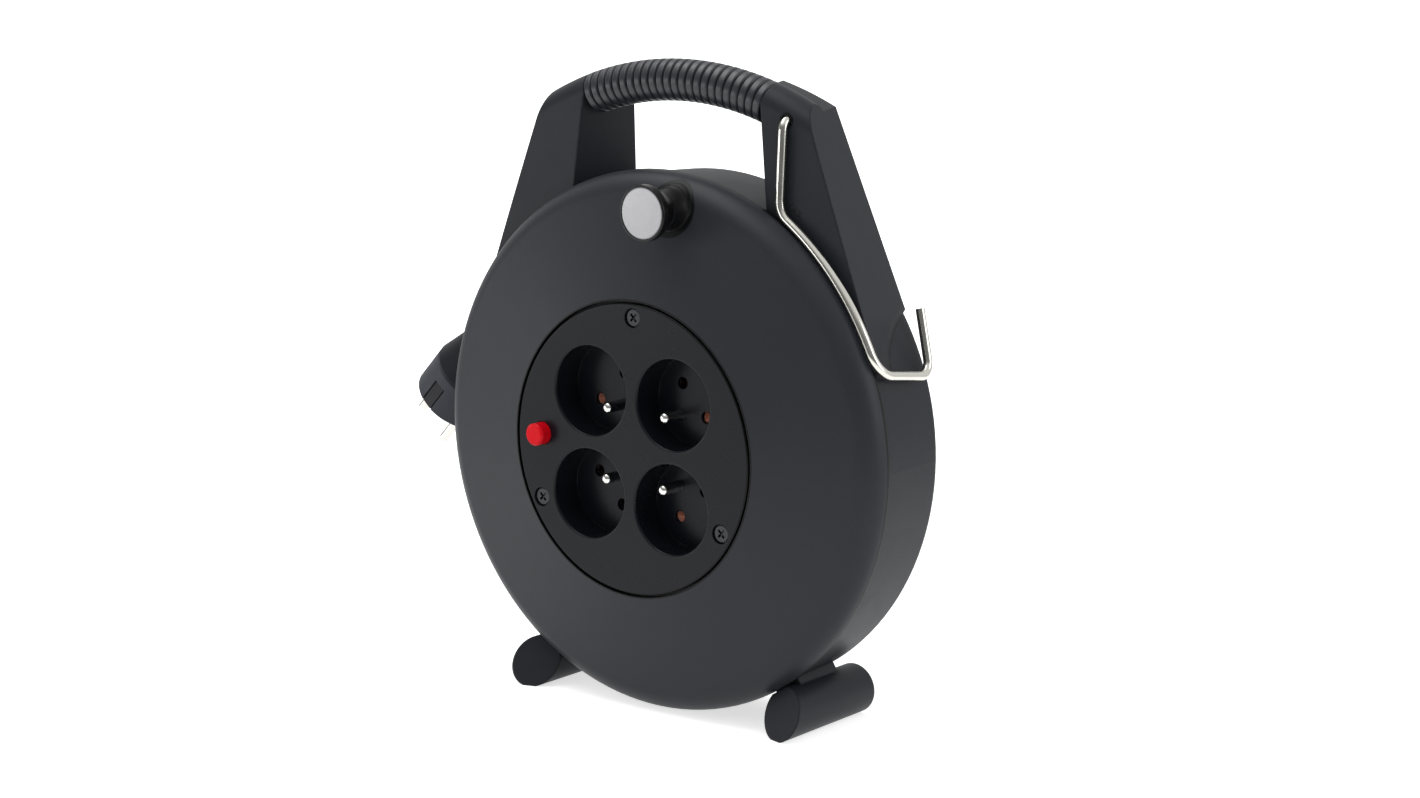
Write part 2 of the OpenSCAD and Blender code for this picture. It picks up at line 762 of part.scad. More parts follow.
module drum_front() {
    color(charcoal) drum() difference() {
        union() {
            revolve_y() drum_outline();
            for (a = [90, 210, 330])
                polar(plate_screw_r, a) pin_y(4, plate_back_y, drum_floor_y + 1);
            for (i = [0:drum_screw_count - 1])
                polar(drum_screw_r, i * 360 / drum_screw_count)
                    pin_y(5, lip_front_y - 1, rear_flange_y);
            polar(knob_r, knob_angle) knob_boss();
        }
        for (a = [90, 210, 330])
            polar(plate_screw_r, a) pin_y(1.5, plate_back_y - 1, plate_back_y + 14);
        for (i = [0:drum_screw_count - 1])
            polar(drum_screw_r, i * 360 / drum_screw_count)
                pin_y(1.6, rear_flange_y - 14, rear_flange_y + 1);
        polar(knob_r, knob_angle) pin_y(knob_pin_r, -knob_height, knob_pin_back_y);
        // Hole through the barrel for the cord's inner end
        translate([0, winding_front_y + cord_r, 0])
            translate([0, 0, -barrel_r - 1]) cylinder(r = cord_r + cord_gap, h = 12);
    }
}

// Trumpet boss that carries the knob's pin
module knob_boss() {
    foot_flare = 2.2;
    rise = knob_seat - 0.5;
    rotate([-90, 0, 0]) rotate_extrude() polygon(concat(
        [[0, knob_boss_back_y], [0, -knob_seat]],
        [for (i = [0:8])
            let (a = 90 * i / 8)
                [knob_waist_r + foot_flare * (1 - cos(a)), -knob_seat + rise * sin(a)]],
        [[knob_waist_r + foot_flare, knob_boss_back_y]]
    ));
}

module drum_rear_flange() {
    color(inner_grey) drum() difference() {
        tube_y(rear_flange_r, bush_inner_r + 0.6, rear_flange_y, rear_flange_y + rear_flange_t);
        for (i = [0:drum_screw_count - 1])
            polar(drum_screw_r, i * 360 / drum_screw_count)
                pin_y(1.6, rear_flange_y - 1, rear_flange_y + 5);
    }
}

module drum_bush() {
    color(brass) drum() tube_y(bush_outer_r, bush_inner_r, lip_back_y, rear_flange_y);
}

module drum_screws() {
    head_y = rear_flange_y + rear_flange_t;
    color(steel) drum() for (i = [0:drum_screw_count - 1])
        polar(drum_screw_r, i * 360 / drum_screw_count) {
            pin_y(1.6, rear_flange_y - 12, head_y + 0.5);
            pin_y(3.4, head_y, head_y + 1.6);
        }
}

// The winding is closed in by the housing, so it is one solid of the turns' outer shape
module wound_cord() {
    shoulder = cord_r * 0.6;
    color([0.12, 0.12, 0.13]) drum() {
        revolve_y() polygon([
            [barrel_r, winding_front_y],
            [winding_r - shoulder, winding_front_y],
            [winding_r, winding_front_y + shoulder],
            [winding_r, winding_back_y - shoulder],
            [winding_r - shoulder, winding_back_y],
            [barrel_r, winding_back_y]
        ]);
        // Inner end of the cord, through the barrel to its clamp
        translate([0, winding_front_y + cord_r, -barrel_r - 2]) cylinder(r = cord_r, h = 13);
    }
}

// ---- Sockets ----

socket_angles = [45, 135, 225, 315];

// Places a child in each socket, with X pointing away from the drum's axis
module at_sockets() {
    for (a = socket_angles)
        polar(socket_pitch_r, a) rotate([0, -a, 0]) children();
}

// The hole on one side of each socket's centre line
module at_contacts(side) {
    at_sockets() translate([0, 0, side * contact_spacing / 2]) children();
}

module recess_cut() {
    bore_r = recess_d / 2;
    lip = mouth_round;
    rotate([-90, 0, 0]) rotate_extrude() polygon(concat(
        [[0, plate_front_y - 1], [bore_r + lip, plate_front_y - 1]],
        arc([bore_r + lip, plate_front_y + lip], lip, 270, 180, 5),
        [[bore_r, cup_floor_y], [0, cup_floor_y]]
    ));
}

module socket_plate() {
    plate_r = plate_d / 2;
    edge = 0.8;
    color(plate_black) drum() difference() {
        union() {
            revolve_y() polygon(concat(
                [[0, plate_back_y], [0, plate_front_y]],
                arc([plate_r - edge, plate_front_y + edge], edge, 270, 360, 4),
                [[plate_r, plate_back_y]]
            ));
            at_sockets() pin_y(recess_d / 2 + cup_wall, plate_back_y - 1, cup_back_y);
        }
        at_sockets() {
            recess_cut();
            for (side = [-1, 1])
                translate([0, 0, side * contact_spacing / 2])
                    pin_y(contact_hole_d / 2, cup_floor_y - 1, cup_back_y + 1);
            translate([-earth_offset, 0, 0]) pin_y(earth_pin_d / 2, cup_floor_y - 1, cup_back_y + 1);
        }
        for (a = [90, 210, 330]) polar(plate_screw_r, a) {
            pin_y(plate_screw_recess_d / 2, plate_front_y - 1, plate_front_y + 1.8);
            pin_y(1.9, plate_front_y, plate_back_y + 1);
        }
        polar(button_r, 180) pin_y(button_d / 2 + button_play, plate_front_y - 1, plate_back_y + 1);
    }
}

module plate_screws() {
    head_y = plate_front_y + 0.8;
    color(steel) drum() for (a = [90, 210, 330])
        polar(plate_screw_r, a) difference() {
            union() {
                pin_y(3.6, head_y, plate_front_y + 1.8);
                pin_y(1.5, head_y + 0.5, plate_back_y + 12);
            }
            cross_cut(head_y, 4.4);
        }
}

contact_wall = 0.9;

// Sleeves behind the contact holes, joined by a ring that runs beside them
module contact_rail(side, ring_offset, ring_y) {
    sleeve_r = contact_hole_d / 2 + contact_wall;
    hole_orbit_r = norm([socket_pitch_r, contact_spacing / 2]);
    ring_r = hole_orbit_r + ring_offset;
    ring_w = 3.5;
    tab_l = abs(ring_offset);
    tab_w = 4;
    difference() {
        union() {
            at_contacts(side) pin_y(sleeve_r, cup_back_y, carrier_front_y);
            tube_y(ring_r + ring_w / 2, ring_r - ring_w / 2, ring_y, ring_y + 1);
            for (a = socket_angles)
                rotate([0, -a - side * atan2(contact_spacing / 2, socket_pitch_r), 0])
                    translate([(ring_r + hole_orbit_r - tab_l) / 2, ring_y, -tab_w / 2])
                        cube([tab_l, 1, tab_w]);
        }
        at_contacts(side) pin_y(contact_hole_d / 2, cup_back_y - 1, carrier_front_y - 0.6);
    }
}

module live_contacts() {
    color(brass) drum() contact_rail(1, 6.5, cup_back_y + 2);
}

module neutral_contacts() {
    color(brass) drum() contact_rail(-1, -6.9, cup_back_y + 5);
}

module earth_contacts() {
    pin_orbit_r = socket_pitch_r - earth_offset;
    tip_y = plate_front_y + earth_tip_depth;
    ring_y = carrier_front_y - 1;
    color(steel) drum() {
        tube_y(pin_orbit_r + 1.5, pin_orbit_r - 4.5, ring_y, carrier_front_y);
        for (a = socket_angles)
            polar(pin_orbit_r, a) rotate([-90, 0, 0]) rotate_extrude() polygon(concat(
                [[0, ring_y + 0.5]],
                [for (i = [0:6])
                    earth_pin_d / 2 * [sin(15 * i), 0.8 - 0.8 * cos(15 * i)] + [0, tip_y]],
                [[earth_pin_d / 2, ring_y + 0.5]]
            ));
    }
}

// Ring behind the contacts, with open notches for the plate screws' posts
module contact_carrier() {
    notch_r = 4.4;
    color([0.62, 0.60, 0.55]) drum() difference() {
        tube_y(barrel_inner_r - 0.5, washer_r + 1, carrier_front_y, drum_floor_y);
        for (a = [90, 210, 330]) {
            polar(plate_screw_r, a) pin_y(notch_r, carrier_front_y - 1, drum_floor_y + 1);
            rotate([0, -a, 0]) translate([plate_screw_r, carrier_front_y - 1, -notch_r])
                cube([barrel_r, carrier_t + 2, 2 * notch_r]);
        }
    }
}

button_bore_l = 12;

// Sealed overload switch behind the plate, with a bore for its button
module thermal_cutout() {
    body_l = carrier_front_y - plate_back_y;
    button_bore_y = plate_front_y + button_bore_l;
    color([0.30, 0.30, 0.32]) drum() polar(button_r, 180) difference() {
        translate([-6.8, plate_back_y, -8]) cube([13.6, body_l, 16]);
        pin_y(button_d / 2 + button_play, plate_back_y - 1, button_bore_y);
    }
}

module reset_button() {
    r = button_d / 2;
    front = plate_front_y - button_proud;
    back = plate_front_y + button_bore_l - button_travel - 0.5;
    edge = 0.8;
    color([0.85, 0.10, 0.10]) drum() polar(button_r, 180)
        rotate([-90, 0, 0]) rotate_extrude() polygon([
            [0, back],
            [0, front],
            [r - edge, front],
            [r, front + edge],
            [r, back]
        ]);
}

module terminal_block() {
    color([0.85, 0.84, 0.80]) drum() polar(barrel_inner_r - 10, 0) difference() {
        translate([-5, carrier_front_y - 10, -9]) cube([10, 10, 18]);
        for (z = [-5.5, 0, 5.5])
            translate([0, 0, z]) pin_y(1.5, carrier_front_y - 11, carrier_front_y - 5);
    }
}

// Bridge that holds the cord's inner end on the carrier
module cord_clamp() {
    clamp_r = barrel_inner_r - 6;
    cord_y = winding_front_y + cord_r;
    color([0.62, 0.60, 0.55]) drum() difference() {
        translate([-9, cord_y - cord_r - 2.5, -clamp_r - 2.5])
            cube([18, carrier_front_y - cord_y + cord_r + 2.5, 5]);
        translate([0, cord_y, -clamp_r - 5]) cylinder(r = cord_r, h = 12);
    }
}

// ---- Crank knob ----

module knob_pin() {
    head_y = -knob_seat - knob_gap - knob_shoulder_t - 0.1;
    color(steel) drum() polar(knob_r, knob_angle) {
        pin_y(knob_pin_r, head_y - 0.5, knob_pin_back_y);
        pin_y(knob_pin_r + 2.4, head_y - pin_head_t, head_y);
    }
}

module knob() {
    base_y = -knob_seat - knob_gap;
    shoulder_y = base_y - knob_shoulder_t;
    rim_y = -knob_height + 3.4;
    pocket_y = -knob_height + knob_cap_t - 0.6;
    pin_room_r = knob_pin_r + 3;
    color([0.08, 0.08, 0.09]) drum() polar(knob_r, knob_angle)
        rotate([-90, 0, 0]) rotate_extrude() polygon(concat(
            [[knob_pin_r + knob_play, shoulder_y], [knob_pin_r + knob_play, base_y]],
            [for (i = [0:8])
                let (a = 90 * i / 8)
                    [knob_waist_r + (knob_head_r - knob_waist_r) * (1 - cos(a)),
                     base_y - (base_y - rim_y) * sin(a)]],
            arc([knob_head_r - 0.6, -knob_height + 0.6], 0.6, 0, -90, 3),
            [
                [knob_cap_d / 2, -knob_height],
                [knob_cap_d / 2, pocket_y],
                [pin_room_r, pocket_y],
                [pin_room_r, shoulder_y]
            ]
        ));
}

// Slightly domed disc, pressed into the knob's front
module knob_cap() {
    back = -knob_height + knob_cap_t - 0.6;
    color([0.85, 0.86, 0.87]) drum() polar(knob_r, knob_angle)
        rotate([-90, 0, 0]) rotate_extrude() polygon([
            [0, back],
            [0, -knob_height - 0.5],
            [knob_cap_d / 4, -knob_height - 0.4],
            [knob_cap_d / 2 - 0.6, -knob_height],
            [knob_cap_d / 2, -knob_height + 0.4],
            [knob_cap_d / 2, back]
        ]);
}

// ---- Cord and plug ----

cord_sides = 12;
cord_ring_count = len(lead_points) + 1;
lead_runs = concat(lead_points, [lead_l]);

module supply_cord() {
    points = [for (run = lead_runs) for (i = [0:cord_sides - 1])
        let (a = 360 * i / cord_sides, p = lead_at(run) + lead_side * cord_r * cos(a))
            [p.x, outlet_y + cord_r * sin(a), p.y]];
    n = cord_sides;
    walls = [for (k = [0:cord_ring_count - 2]) for (i = [0:n - 1]) for (half = [0, 1])
        let (a = k * n + i, b = k * n + (i + 1) % n, c = b + n, d = a + n)
            half == 0 ? [a, c, b] : [a, d, c]];
    start_cap = [for (i = [1:n - 2]) [0, i, i + 1]];
    end_base = (cord_ring_count - 1) * n;
    end_cap = [for (i = [1:n - 2]) [end_base, end_base + i + 1, end_base + i]];
    color([0.12, 0.12, 0.13]) reel() polyhedron(points, concat(walls, start_cap, end_cap));
}

// Places a child on the plug's face, with Z pointing back along the cord
module plug() {
    reel() lead_frame(lead_l + plug_l) children();
}

module plug_body() {
    neck_r = cord_r + 2.4;
    guide_w = 5.5;
    guide_l = 16.5;
    groove = 0.9;
    color([0.15, 0.15, 0.16]) plug() difference() {
        rotate_extrude() polygon(concat(
            [[0, 0], [plug_r - 1.2, 0]],
            arc([plug_r - 1.2, 1.2], 1.2, -90, 0, 4),
            [
                [plug_r, plug_side_l],
                [plug_r - groove, plug_side_l + groove * 0.7],
                [plug_r - groove, plug_side_l + groove * 1.3],
                [plug_r, plug_side_l + 2 * groove],
                [plug_waist_r, plug_l - 9],
                [neck_r + 2, plug_l - 4],
                [neck_r, plug_l],
                [0, plug_l]
            ]
        ));
        // Guide grooves beside the pins
        for (side = [-1, 1])
            translate([side * plug_r - 2.5, -guide_w / 2, -1]) cube([5, guide_w, guide_l + 1]);
        // Seats of the earth clips
        for (side = [-1, 1])
            translate([-3.5, side * plug_r - 1.6, -1]) cube([7, 3.2, 15]);
        for (side = [-1, 1])
            translate([side * plug_pin_spacing / 2, 0, -1]) cylinder(r = plug_pin_root_r, h = 13);
        // Hole for a socket's earth pin
        translate([0, earth_offset, -1]) cylinder(r = 2.6, h = 17);
    }
}

// Two round pins on narrower roots that are moulded into the body
module plug_pins() {
    tip = 1.2;
    shoulder = 0.3;
    r = plug_pin_d / 2;
    color(steel) plug() for (side = [-1, 1])
        translate([side * plug_pin_spacing / 2, 0, 0]) rotate_extrude() polygon([
            [0, -plug_pin_l],
            [r - tip, -plug_pin_l],
            [r, -plug_pin_l + tip],
            [r, -shoulder],
            [plug_pin_root_r, -shoulder],
            [plug_pin_root_r, 12],
            [0, 12]
        ]);
}

module plug_earth_clips() {
    clip_w = 5.6;
    clip_l = 13;
    color(steel) plug() for (side = [-1, 1])
        translate([-clip_w / 2, side * (plug_r - 1.6) - (side > 0 ? 0 : 1), 0.5])
            cube([clip_w, 1, clip_l]);
}

rear_housing();
left_post();
right_post();
grip_bar();
grip_sleeve();
left_foot();
right_foot();
outlet_bush();
retaining_washer();
spindle_screw();
supply_cord();
plug_body();
plug_pins();
plug_earth_clips();
wire_hook();
hook_clip();
drum_front();
drum_rear_flange();
drum_bush();
drum_screws();
wound_cord();
socket_plate();
plate_screws();
live_contacts();
neutral_contacts();
earth_contacts();
contact_carrier();
thermal_cutout();
reset_button();
terminal_block();
cord_clamp();
knob_pin();
knob();
knob_cap();
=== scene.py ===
import json
import math

import bpy
from bpy.props import FloatProperty, FloatVectorProperty, IntProperty, PointerProperty
from mathutils import Matrix, Vector


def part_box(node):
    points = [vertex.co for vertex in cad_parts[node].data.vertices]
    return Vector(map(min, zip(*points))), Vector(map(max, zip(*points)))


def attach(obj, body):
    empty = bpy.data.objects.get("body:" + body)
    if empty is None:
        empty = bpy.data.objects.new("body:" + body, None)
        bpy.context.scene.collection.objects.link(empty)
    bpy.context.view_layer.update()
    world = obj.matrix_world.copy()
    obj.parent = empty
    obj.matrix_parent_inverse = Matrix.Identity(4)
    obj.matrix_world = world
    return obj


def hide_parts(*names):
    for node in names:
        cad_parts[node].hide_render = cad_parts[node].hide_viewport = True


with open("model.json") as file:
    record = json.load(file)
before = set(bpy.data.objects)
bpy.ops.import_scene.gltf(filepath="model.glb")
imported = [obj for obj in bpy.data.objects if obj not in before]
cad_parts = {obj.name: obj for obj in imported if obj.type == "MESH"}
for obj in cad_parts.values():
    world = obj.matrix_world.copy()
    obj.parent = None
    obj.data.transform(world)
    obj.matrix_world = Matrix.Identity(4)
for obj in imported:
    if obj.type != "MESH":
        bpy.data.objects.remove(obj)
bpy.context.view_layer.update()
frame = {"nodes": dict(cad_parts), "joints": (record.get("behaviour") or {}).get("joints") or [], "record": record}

bl_info = {
    "name": "Extension Cord Reel Finish",
    "version": (1, 0, 0),
    "blender": (4, 5, 0),
    "location": "View3D > Sidebar > Cord Reel",
    "description": "Builds the cord, winding, ribbed grip, finishes and stage of a cord reel",
    "category": "Object",
}

JOINTS = {joint["name"]: joint for joint in frame["joints"]}
MOUNTS = {mount["name"]: mount for mount in frame["record"]["mounts"]}
DRUM_AXIS = Vector(JOINTS["drum_spin"]["pos_m"])
KNOB_AXIS = Vector(JOINTS["knob_spin"]["pos_m"])
WINDING_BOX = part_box("wound_cord")
GRIP_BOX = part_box("grip_sleeve")

TOWARDS_FRONT = (0.0, -1.0, 0.0)
TOWARDS_BACK = (0.0, 1.0, 0.0)
UPWARDS = (0.0, 0.0, 1.0)
# Painted shade in the narrow gap between the flange and the housing
GAP_SHADE = (0.003, 0.003, 0.0035)
# How far the edge of painted shade on a piece takes to fade
COLOUR_BLEND = 0.0002


# ---- Settings ----


class CordReelCordSettings(bpy.types.PropertyGroup):
    diameter: FloatProperty(
        name="Cord Diameter",
        description="Outside diameter of the sheath",
        default=0.008,
        min=0.006,
        max=0.009,
        precision=4,
        unit="LENGTH",
    )
    plug_length: FloatProperty(
        name="Plug Length",
        description="From the plug's face to the end of its neck, where the cord goes in",
        default=0.046,
        precision=4,
        unit="LENGTH",
    )
    pin_middle: FloatProperty(
        name="Pin Middle",
        description="How far the plug's pins' mounts stand in front of its face",
        default=0.00905,
        precision=5,
        unit="LENGTH",
    )
    turns_across: IntProperty(
        name="Turns Across",
        description="Turns that lie side by side in one layer of the winding",
        default=5,
        min=1,
        max=8,
    )
    layers: IntProperty(
        name="Layers",
        description="Layers of cord on the barrel",
        default=4,
        min=1,
        max=6,
    )
    barrel_radius: FloatProperty(
        name="Barrel Radius",
        description="Radius that the first layer lies on",
        default=0.071,
        precision=4,
        unit="LENGTH",
    )


class CordReelGripSettings(bpy.types.PropertyGroup):
    ribs: IntProperty(
        name="Ribs",
        description="Number of ribs along the sleeve",
        default=24,
        min=8,
        max=40,
    )
    groove_depth: FloatProperty(
        name="Groove Depth",
        description="How deep the grooves between the ribs are",
        default=0.0012,
        min=0.0003,
        max=0.0014,
        precision=5,
        unit="LENGTH",
    )
    outer_radius: FloatProperty(
        name="Outer Radius",
        description="Radius over the ribs",
        default=(GRIP_BOX[1].y - GRIP_BOX[0].y) / 2,
        precision=5,
        unit="LENGTH",
    )
    bore_radius: FloatProperty(
        name="Bore Radius",
        description="Radius of the hole that the grip's bar fills",
        default=0.00755,
        precision=5,
        unit="LENGTH",
    )
    arch_radius: FloatProperty(
        name="Arch Radius",
        description="Radius of the arch that the middle of the grip follows",
        default=0.1523,
        precision=4,
        unit="LENGTH",
    )
    arch_rise: FloatProperty(
        name="Arch Rise",
        description="Height of the arch's centre above the drum's axis",
        default=0.0051,
        precision=4,
        unit="LENGTH",
    )
    half_angle: FloatProperty(
        name="Half Angle",
        description="Angle from the top of the arch to each end of the sleeve",
        default=math.radians(18.53),
        subtype="ANGLE",
    )


class CordReelColourSettings(bpy.types.PropertyGroup):
    shell: FloatVectorProperty(
        name="Shell",
        description="Housing, outlet bush, posts and feet",
        subtype="COLOR",
        default=(0.0180, 0.0194, 0.0242),
    )
    flange: FloatVectorProperty(
        name="Flange",
        description="Front flange of the drum",
        subtype="COLOR",
        default=(0.0235, 0.0250, 0.0308),
    )
    plate: FloatVectorProperty(
        name="Socket Plate",
        description="Glossy plate with the four recesses",
        subtype="COLOR",
        default=(0.0055, 0.0063, 0.0092),
    )
    grip: FloatVectorProperty(
        name="Grip",
        description="Ribbed sleeve of the handle",
        subtype="COLOR",
        default=(0.0235, 0.0253, 0.0325),
    )
    button: FloatVectorProperty(
        name="Reset Button",
        description="Button of the thermal cut-out",
        subtype="COLOR",
        default=(0.66, 0.003, 0.010),
    )
    sheath: FloatVectorProperty(
        name="Cord Sheath",
        description="Sheath of the supply cord",
        subtype="COLOR",
        default=(0.011, 0.011, 0.013),
    )
    knob_disc: FloatVectorProperty(
        name="Knob Disc",
        description="Pale disc in the knob's front",
        subtype="COLOR",
        default=(0.50, 0.50, 0.52),
    )


class CordReelStageSettings(bpy.types.PropertyGroup):
    floor_tone: FloatProperty(
        name="Floor Tone",
        description="How pale the floor is",
        default=0.82,
        min=0.0,
        max=1.0,
        subtype="FACTOR",
    )
    top_lamp: FloatProperty(
        name="Top Lamp",
        description="Power of the lamp overhead, a little to the left",
        default=7.0,
        min=0.0,
        unit="POWER",
    )
    side_lamp: FloatProperty(
        name="Side Lamp",
        description="Power of the lamp on the right",
        default=8.0,
        min=0.0,
        unit="POWER",
    )
    front_lamp: FloatProperty(
        name="Front Lamp",
        description="Power of the low lamp in front on the left",
        default=4.6,
        min=0.0,
        unit="POWER",
    )
    sky: FloatProperty(
        name="Sky",
        description="Strength of the even light from all round",
        default=0.75,
        min=0.0,
        max=2.0,
    )


# ---- Node tree helpers ----


class TreeBuilder:
    """Adds nodes to one tree. An input is given as a socket, which is linked, or as a constant."""

    def __init__(self, tree):
        self.tree = tree

    def feed(self, socket, value):
        """Links the value to the socket, or sets it as the socket's constant."""
        if isinstance(value, bpy.types.NodeSocket):
            self.tree.links.new(value, socket)
        else:
            socket.default_value = value

    def feed_all(self, node, values):
        for name, value in dict(values).items():
            self.feed(node.inputs[name], value)

    def node(self, kind, inputs=(), **settings):
        """A new node with its inputs fed and its settings made."""
        columns, column_width, row_height = 12, 200, 260
        row, column = divmod(len(self.tree.nodes), columns)
        node = self.tree.nodes.new(kind)
        node.location = (column_width * column, -row_height * row)
        for name, value in settings.items():
            setattr(node, name, value)
        self.feed_all(node, inputs)
        return node

    def object_place(self):
        """The shaded place in the object's own coordinates."""
        return self.node("ShaderNodeTexCoord").outputs["Object"]

    def noise(self, place, scale, **settings):
        """Noise from 0 to 1, with its settings named in lower case."""
        inputs = {"Vector": place, "Scale": scale}
        inputs.update({name.title(): value for name, value in settings.items()})
        return self.node("ShaderNodeTexNoise", inputs).outputs[0]

    def math(self, operation, *values):
        return self.node("ShaderNodeMath", enumerate(values), operation=operation).outputs[0]

    def vector_math(self, operation, *values):
        node = self.node("ShaderNodeVectorMath", enumerate(values), operation=operation)
        return node.outputs["Value" if operation in ("DOT_PRODUCT", "LENGTH") else "Vector"]

    def smooth_step(self, value, low, high):
        node = self.node(
            "ShaderNodeMapRange",
            {"Value": value, "From Min": low, "From Max": high},
            interpolation_type="SMOOTHSTEP",
        )
        return node.outputs["Result"]

    def mix_colour(self, factor, first, second):
        # The colour sockets of this node share their names with others and are found by number
        node = self.node("ShaderNodeMix", data_type="RGBA")
        for number, value in ((0, factor), (6, first), (7, second)):
            self.feed(node.inputs[number], value)
        return node.outputs[2]

    def share(self, first, second, factor):
        """first, or second where the factor is 1, and a share of both between."""
        change = self.math("SUBTRACT", second, first)
        return self.math("ADD", first, self.math("MULTIPLY", change, factor))


def new_tree(name, kind, inputs, outputs):
    """A node tree with the named sockets. Returns its builder, its inputs and its output node."""
    tree = bpy.data.node_groups.new(name, kind)
    for label, socket_type, *default in inputs:
        socket = tree.interface.new_socket(label, in_out="INPUT", socket_type=socket_type)
        if default:
            socket.default_value = default[0]
    for label, socket_type in outputs:
        tree.interface.new_socket(label, in_out="OUTPUT", socket_type=socket_type)
    builder = TreeBuilder(tree)
    given = builder.node("NodeGroupInput").outputs
    return builder, given, builder.node("NodeGroupOutput")


def mesh_from_tree(name, tree, values):
    """An object with the plain mesh that the geometry tree makes from the values."""
    piece = bpy.data.objects.new(name, bpy.data.meshes.new(name))
    bpy.context.scene.collection.objects.link(piece)
    modifier = piece.modifiers.new("Form", "NODES")
    modifier.node_group = tree
    identifiers = {
        item.name: item.identifier
        for item in tree.interface.items_tree
        if item.item_type == "SOCKET" and item.in_out == "INPUT"
    }
    for label, value in values.items():
        modifier[identifiers[label]] = value
    depsgraph = bpy.context.evaluated_depsgraph_get()
    formed = bpy.data.meshes.new_from_object(piece.evaluated_get(depsgraph))
    if not formed.polygons:
        raise RuntimeError(f"{name}: the geometry tree made no faces")
    piece.modifiers.remove(modifier)
    piece.data = formed
    return piece


# ---- Geometry trees ----


def winding_tree():
    """Cord laid on a barrel in whole turns, each ending in a short step to the next."""
    builder, given, output = new_tree(
        "Cord Winding",
        "GeometryNodeTree",
        [
            ("Cord Diameter", "NodeSocketFloat"),
            ("Turns Across", "NodeSocketInt"),
            ("Layers", "NodeSocketInt"),
            ("Points per Turn", "NodeSocketInt"),
            ("Barrel Radius", "NodeSocketFloat"),
            ("Front", "NodeSocketFloat"),
            ("Axis Height", "NodeSocketFloat"),
            ("Material", "NodeSocketMaterial"),
        ],
        [("Geometry", "NodeSocketGeometry")],
    )
    diameter, across = given["Cord Diameter"], given["Turns Across"]
    # Share of a turn after which the cord steps sideways to the next one
    step_start = 0.84
    # The last turn ends just before its step would begin
    left_off = 0.17
    # A little thinner than its room, so that neighbouring turns stay apart
    radius_share = 0.495
    sides = 10

    def place(turn):
        """Column and layer of a whole turn. Every other layer runs back."""
        layer = builder.math("FLOOR", builder.math("DIVIDE", turn, across))
        column = builder.math("SUBTRACT", turn, builder.math("MULTIPLY", layer, across))
        mirrored = builder.math("SUBTRACT", builder.math("SUBTRACT", across, 1.0), column)
        odd = builder.math("MODULO", layer, 2.0)
        return builder.share(column, mirrored, odd), layer

    index = builder.node("GeometryNodeInputIndex").outputs[0]
    turn = builder.math("DIVIDE", index, given["Points per Turn"])
    whole = builder.math("FLOOR", turn)
    step = builder.smooth_step(builder.math("FRACT", turn), step_start, 1.0)
    column, layer = place(whole)
    next_column, next_layer = place(builder.math("ADD", whole, 1.0))
    column = builder.share(column, next_column, step)
    layer = builder.share(layer, next_layer, step)
    radius = builder.math(
        "MULTIPLY_ADD", builder.math("ADD", layer, 0.5), diameter, given["Barrel Radius"]
    )
    angle = builder.math("MULTIPLY", turn, 2 * math.pi)
    across_place = builder.math(
        "MULTIPLY_ADD", builder.math("ADD", column, 0.5), diameter, given["Front"]
    )
    place_on_barrel = builder.node(
        "ShaderNodeCombineXYZ",
        {
            "X": builder.math("MULTIPLY", radius, builder.math("COSINE", angle)),
            "Y": across_place,
            "Z": builder.math(
                "MULTIPLY_ADD", radius, builder.math("SINE", angle), given["Axis Height"]
            ),
        },
    ).outputs[0]
    turns = builder.math("MULTIPLY", across, given["Layers"])
    points = builder.math(
        "MULTIPLY", builder.math("SUBTRACT", turns, left_off), given["Points per Turn"]
    )
    line = builder.node("GeometryNodeMeshLine", {"Count": points}).outputs[0]
    laid = builder.node("GeometryNodeSetPosition", {"Geometry": line, "Position": place_on_barrel})
    path = builder.node("GeometryNodeMeshToCurve", {"Mesh": laid.outputs[0]}).outputs[0]
    ring = builder.node(
        "GeometryNodeCurvePrimitiveCircle",
        {"Resolution": sides, "Radius": builder.math("MULTIPLY", diameter, radius_share)},
    ).outputs[0]
    tube = builder.node(
        "GeometryNodeCurveToMesh", {"Curve": path, "Profile Curve": ring, "Fill Caps": True}
    ).outputs[0]
    smooth = builder.node("GeometryNodeSetShadeSmooth", {"Geometry": tube}).outputs[0]
    finish_tree(builder, smooth, given["Material"], output)
    return builder.tree


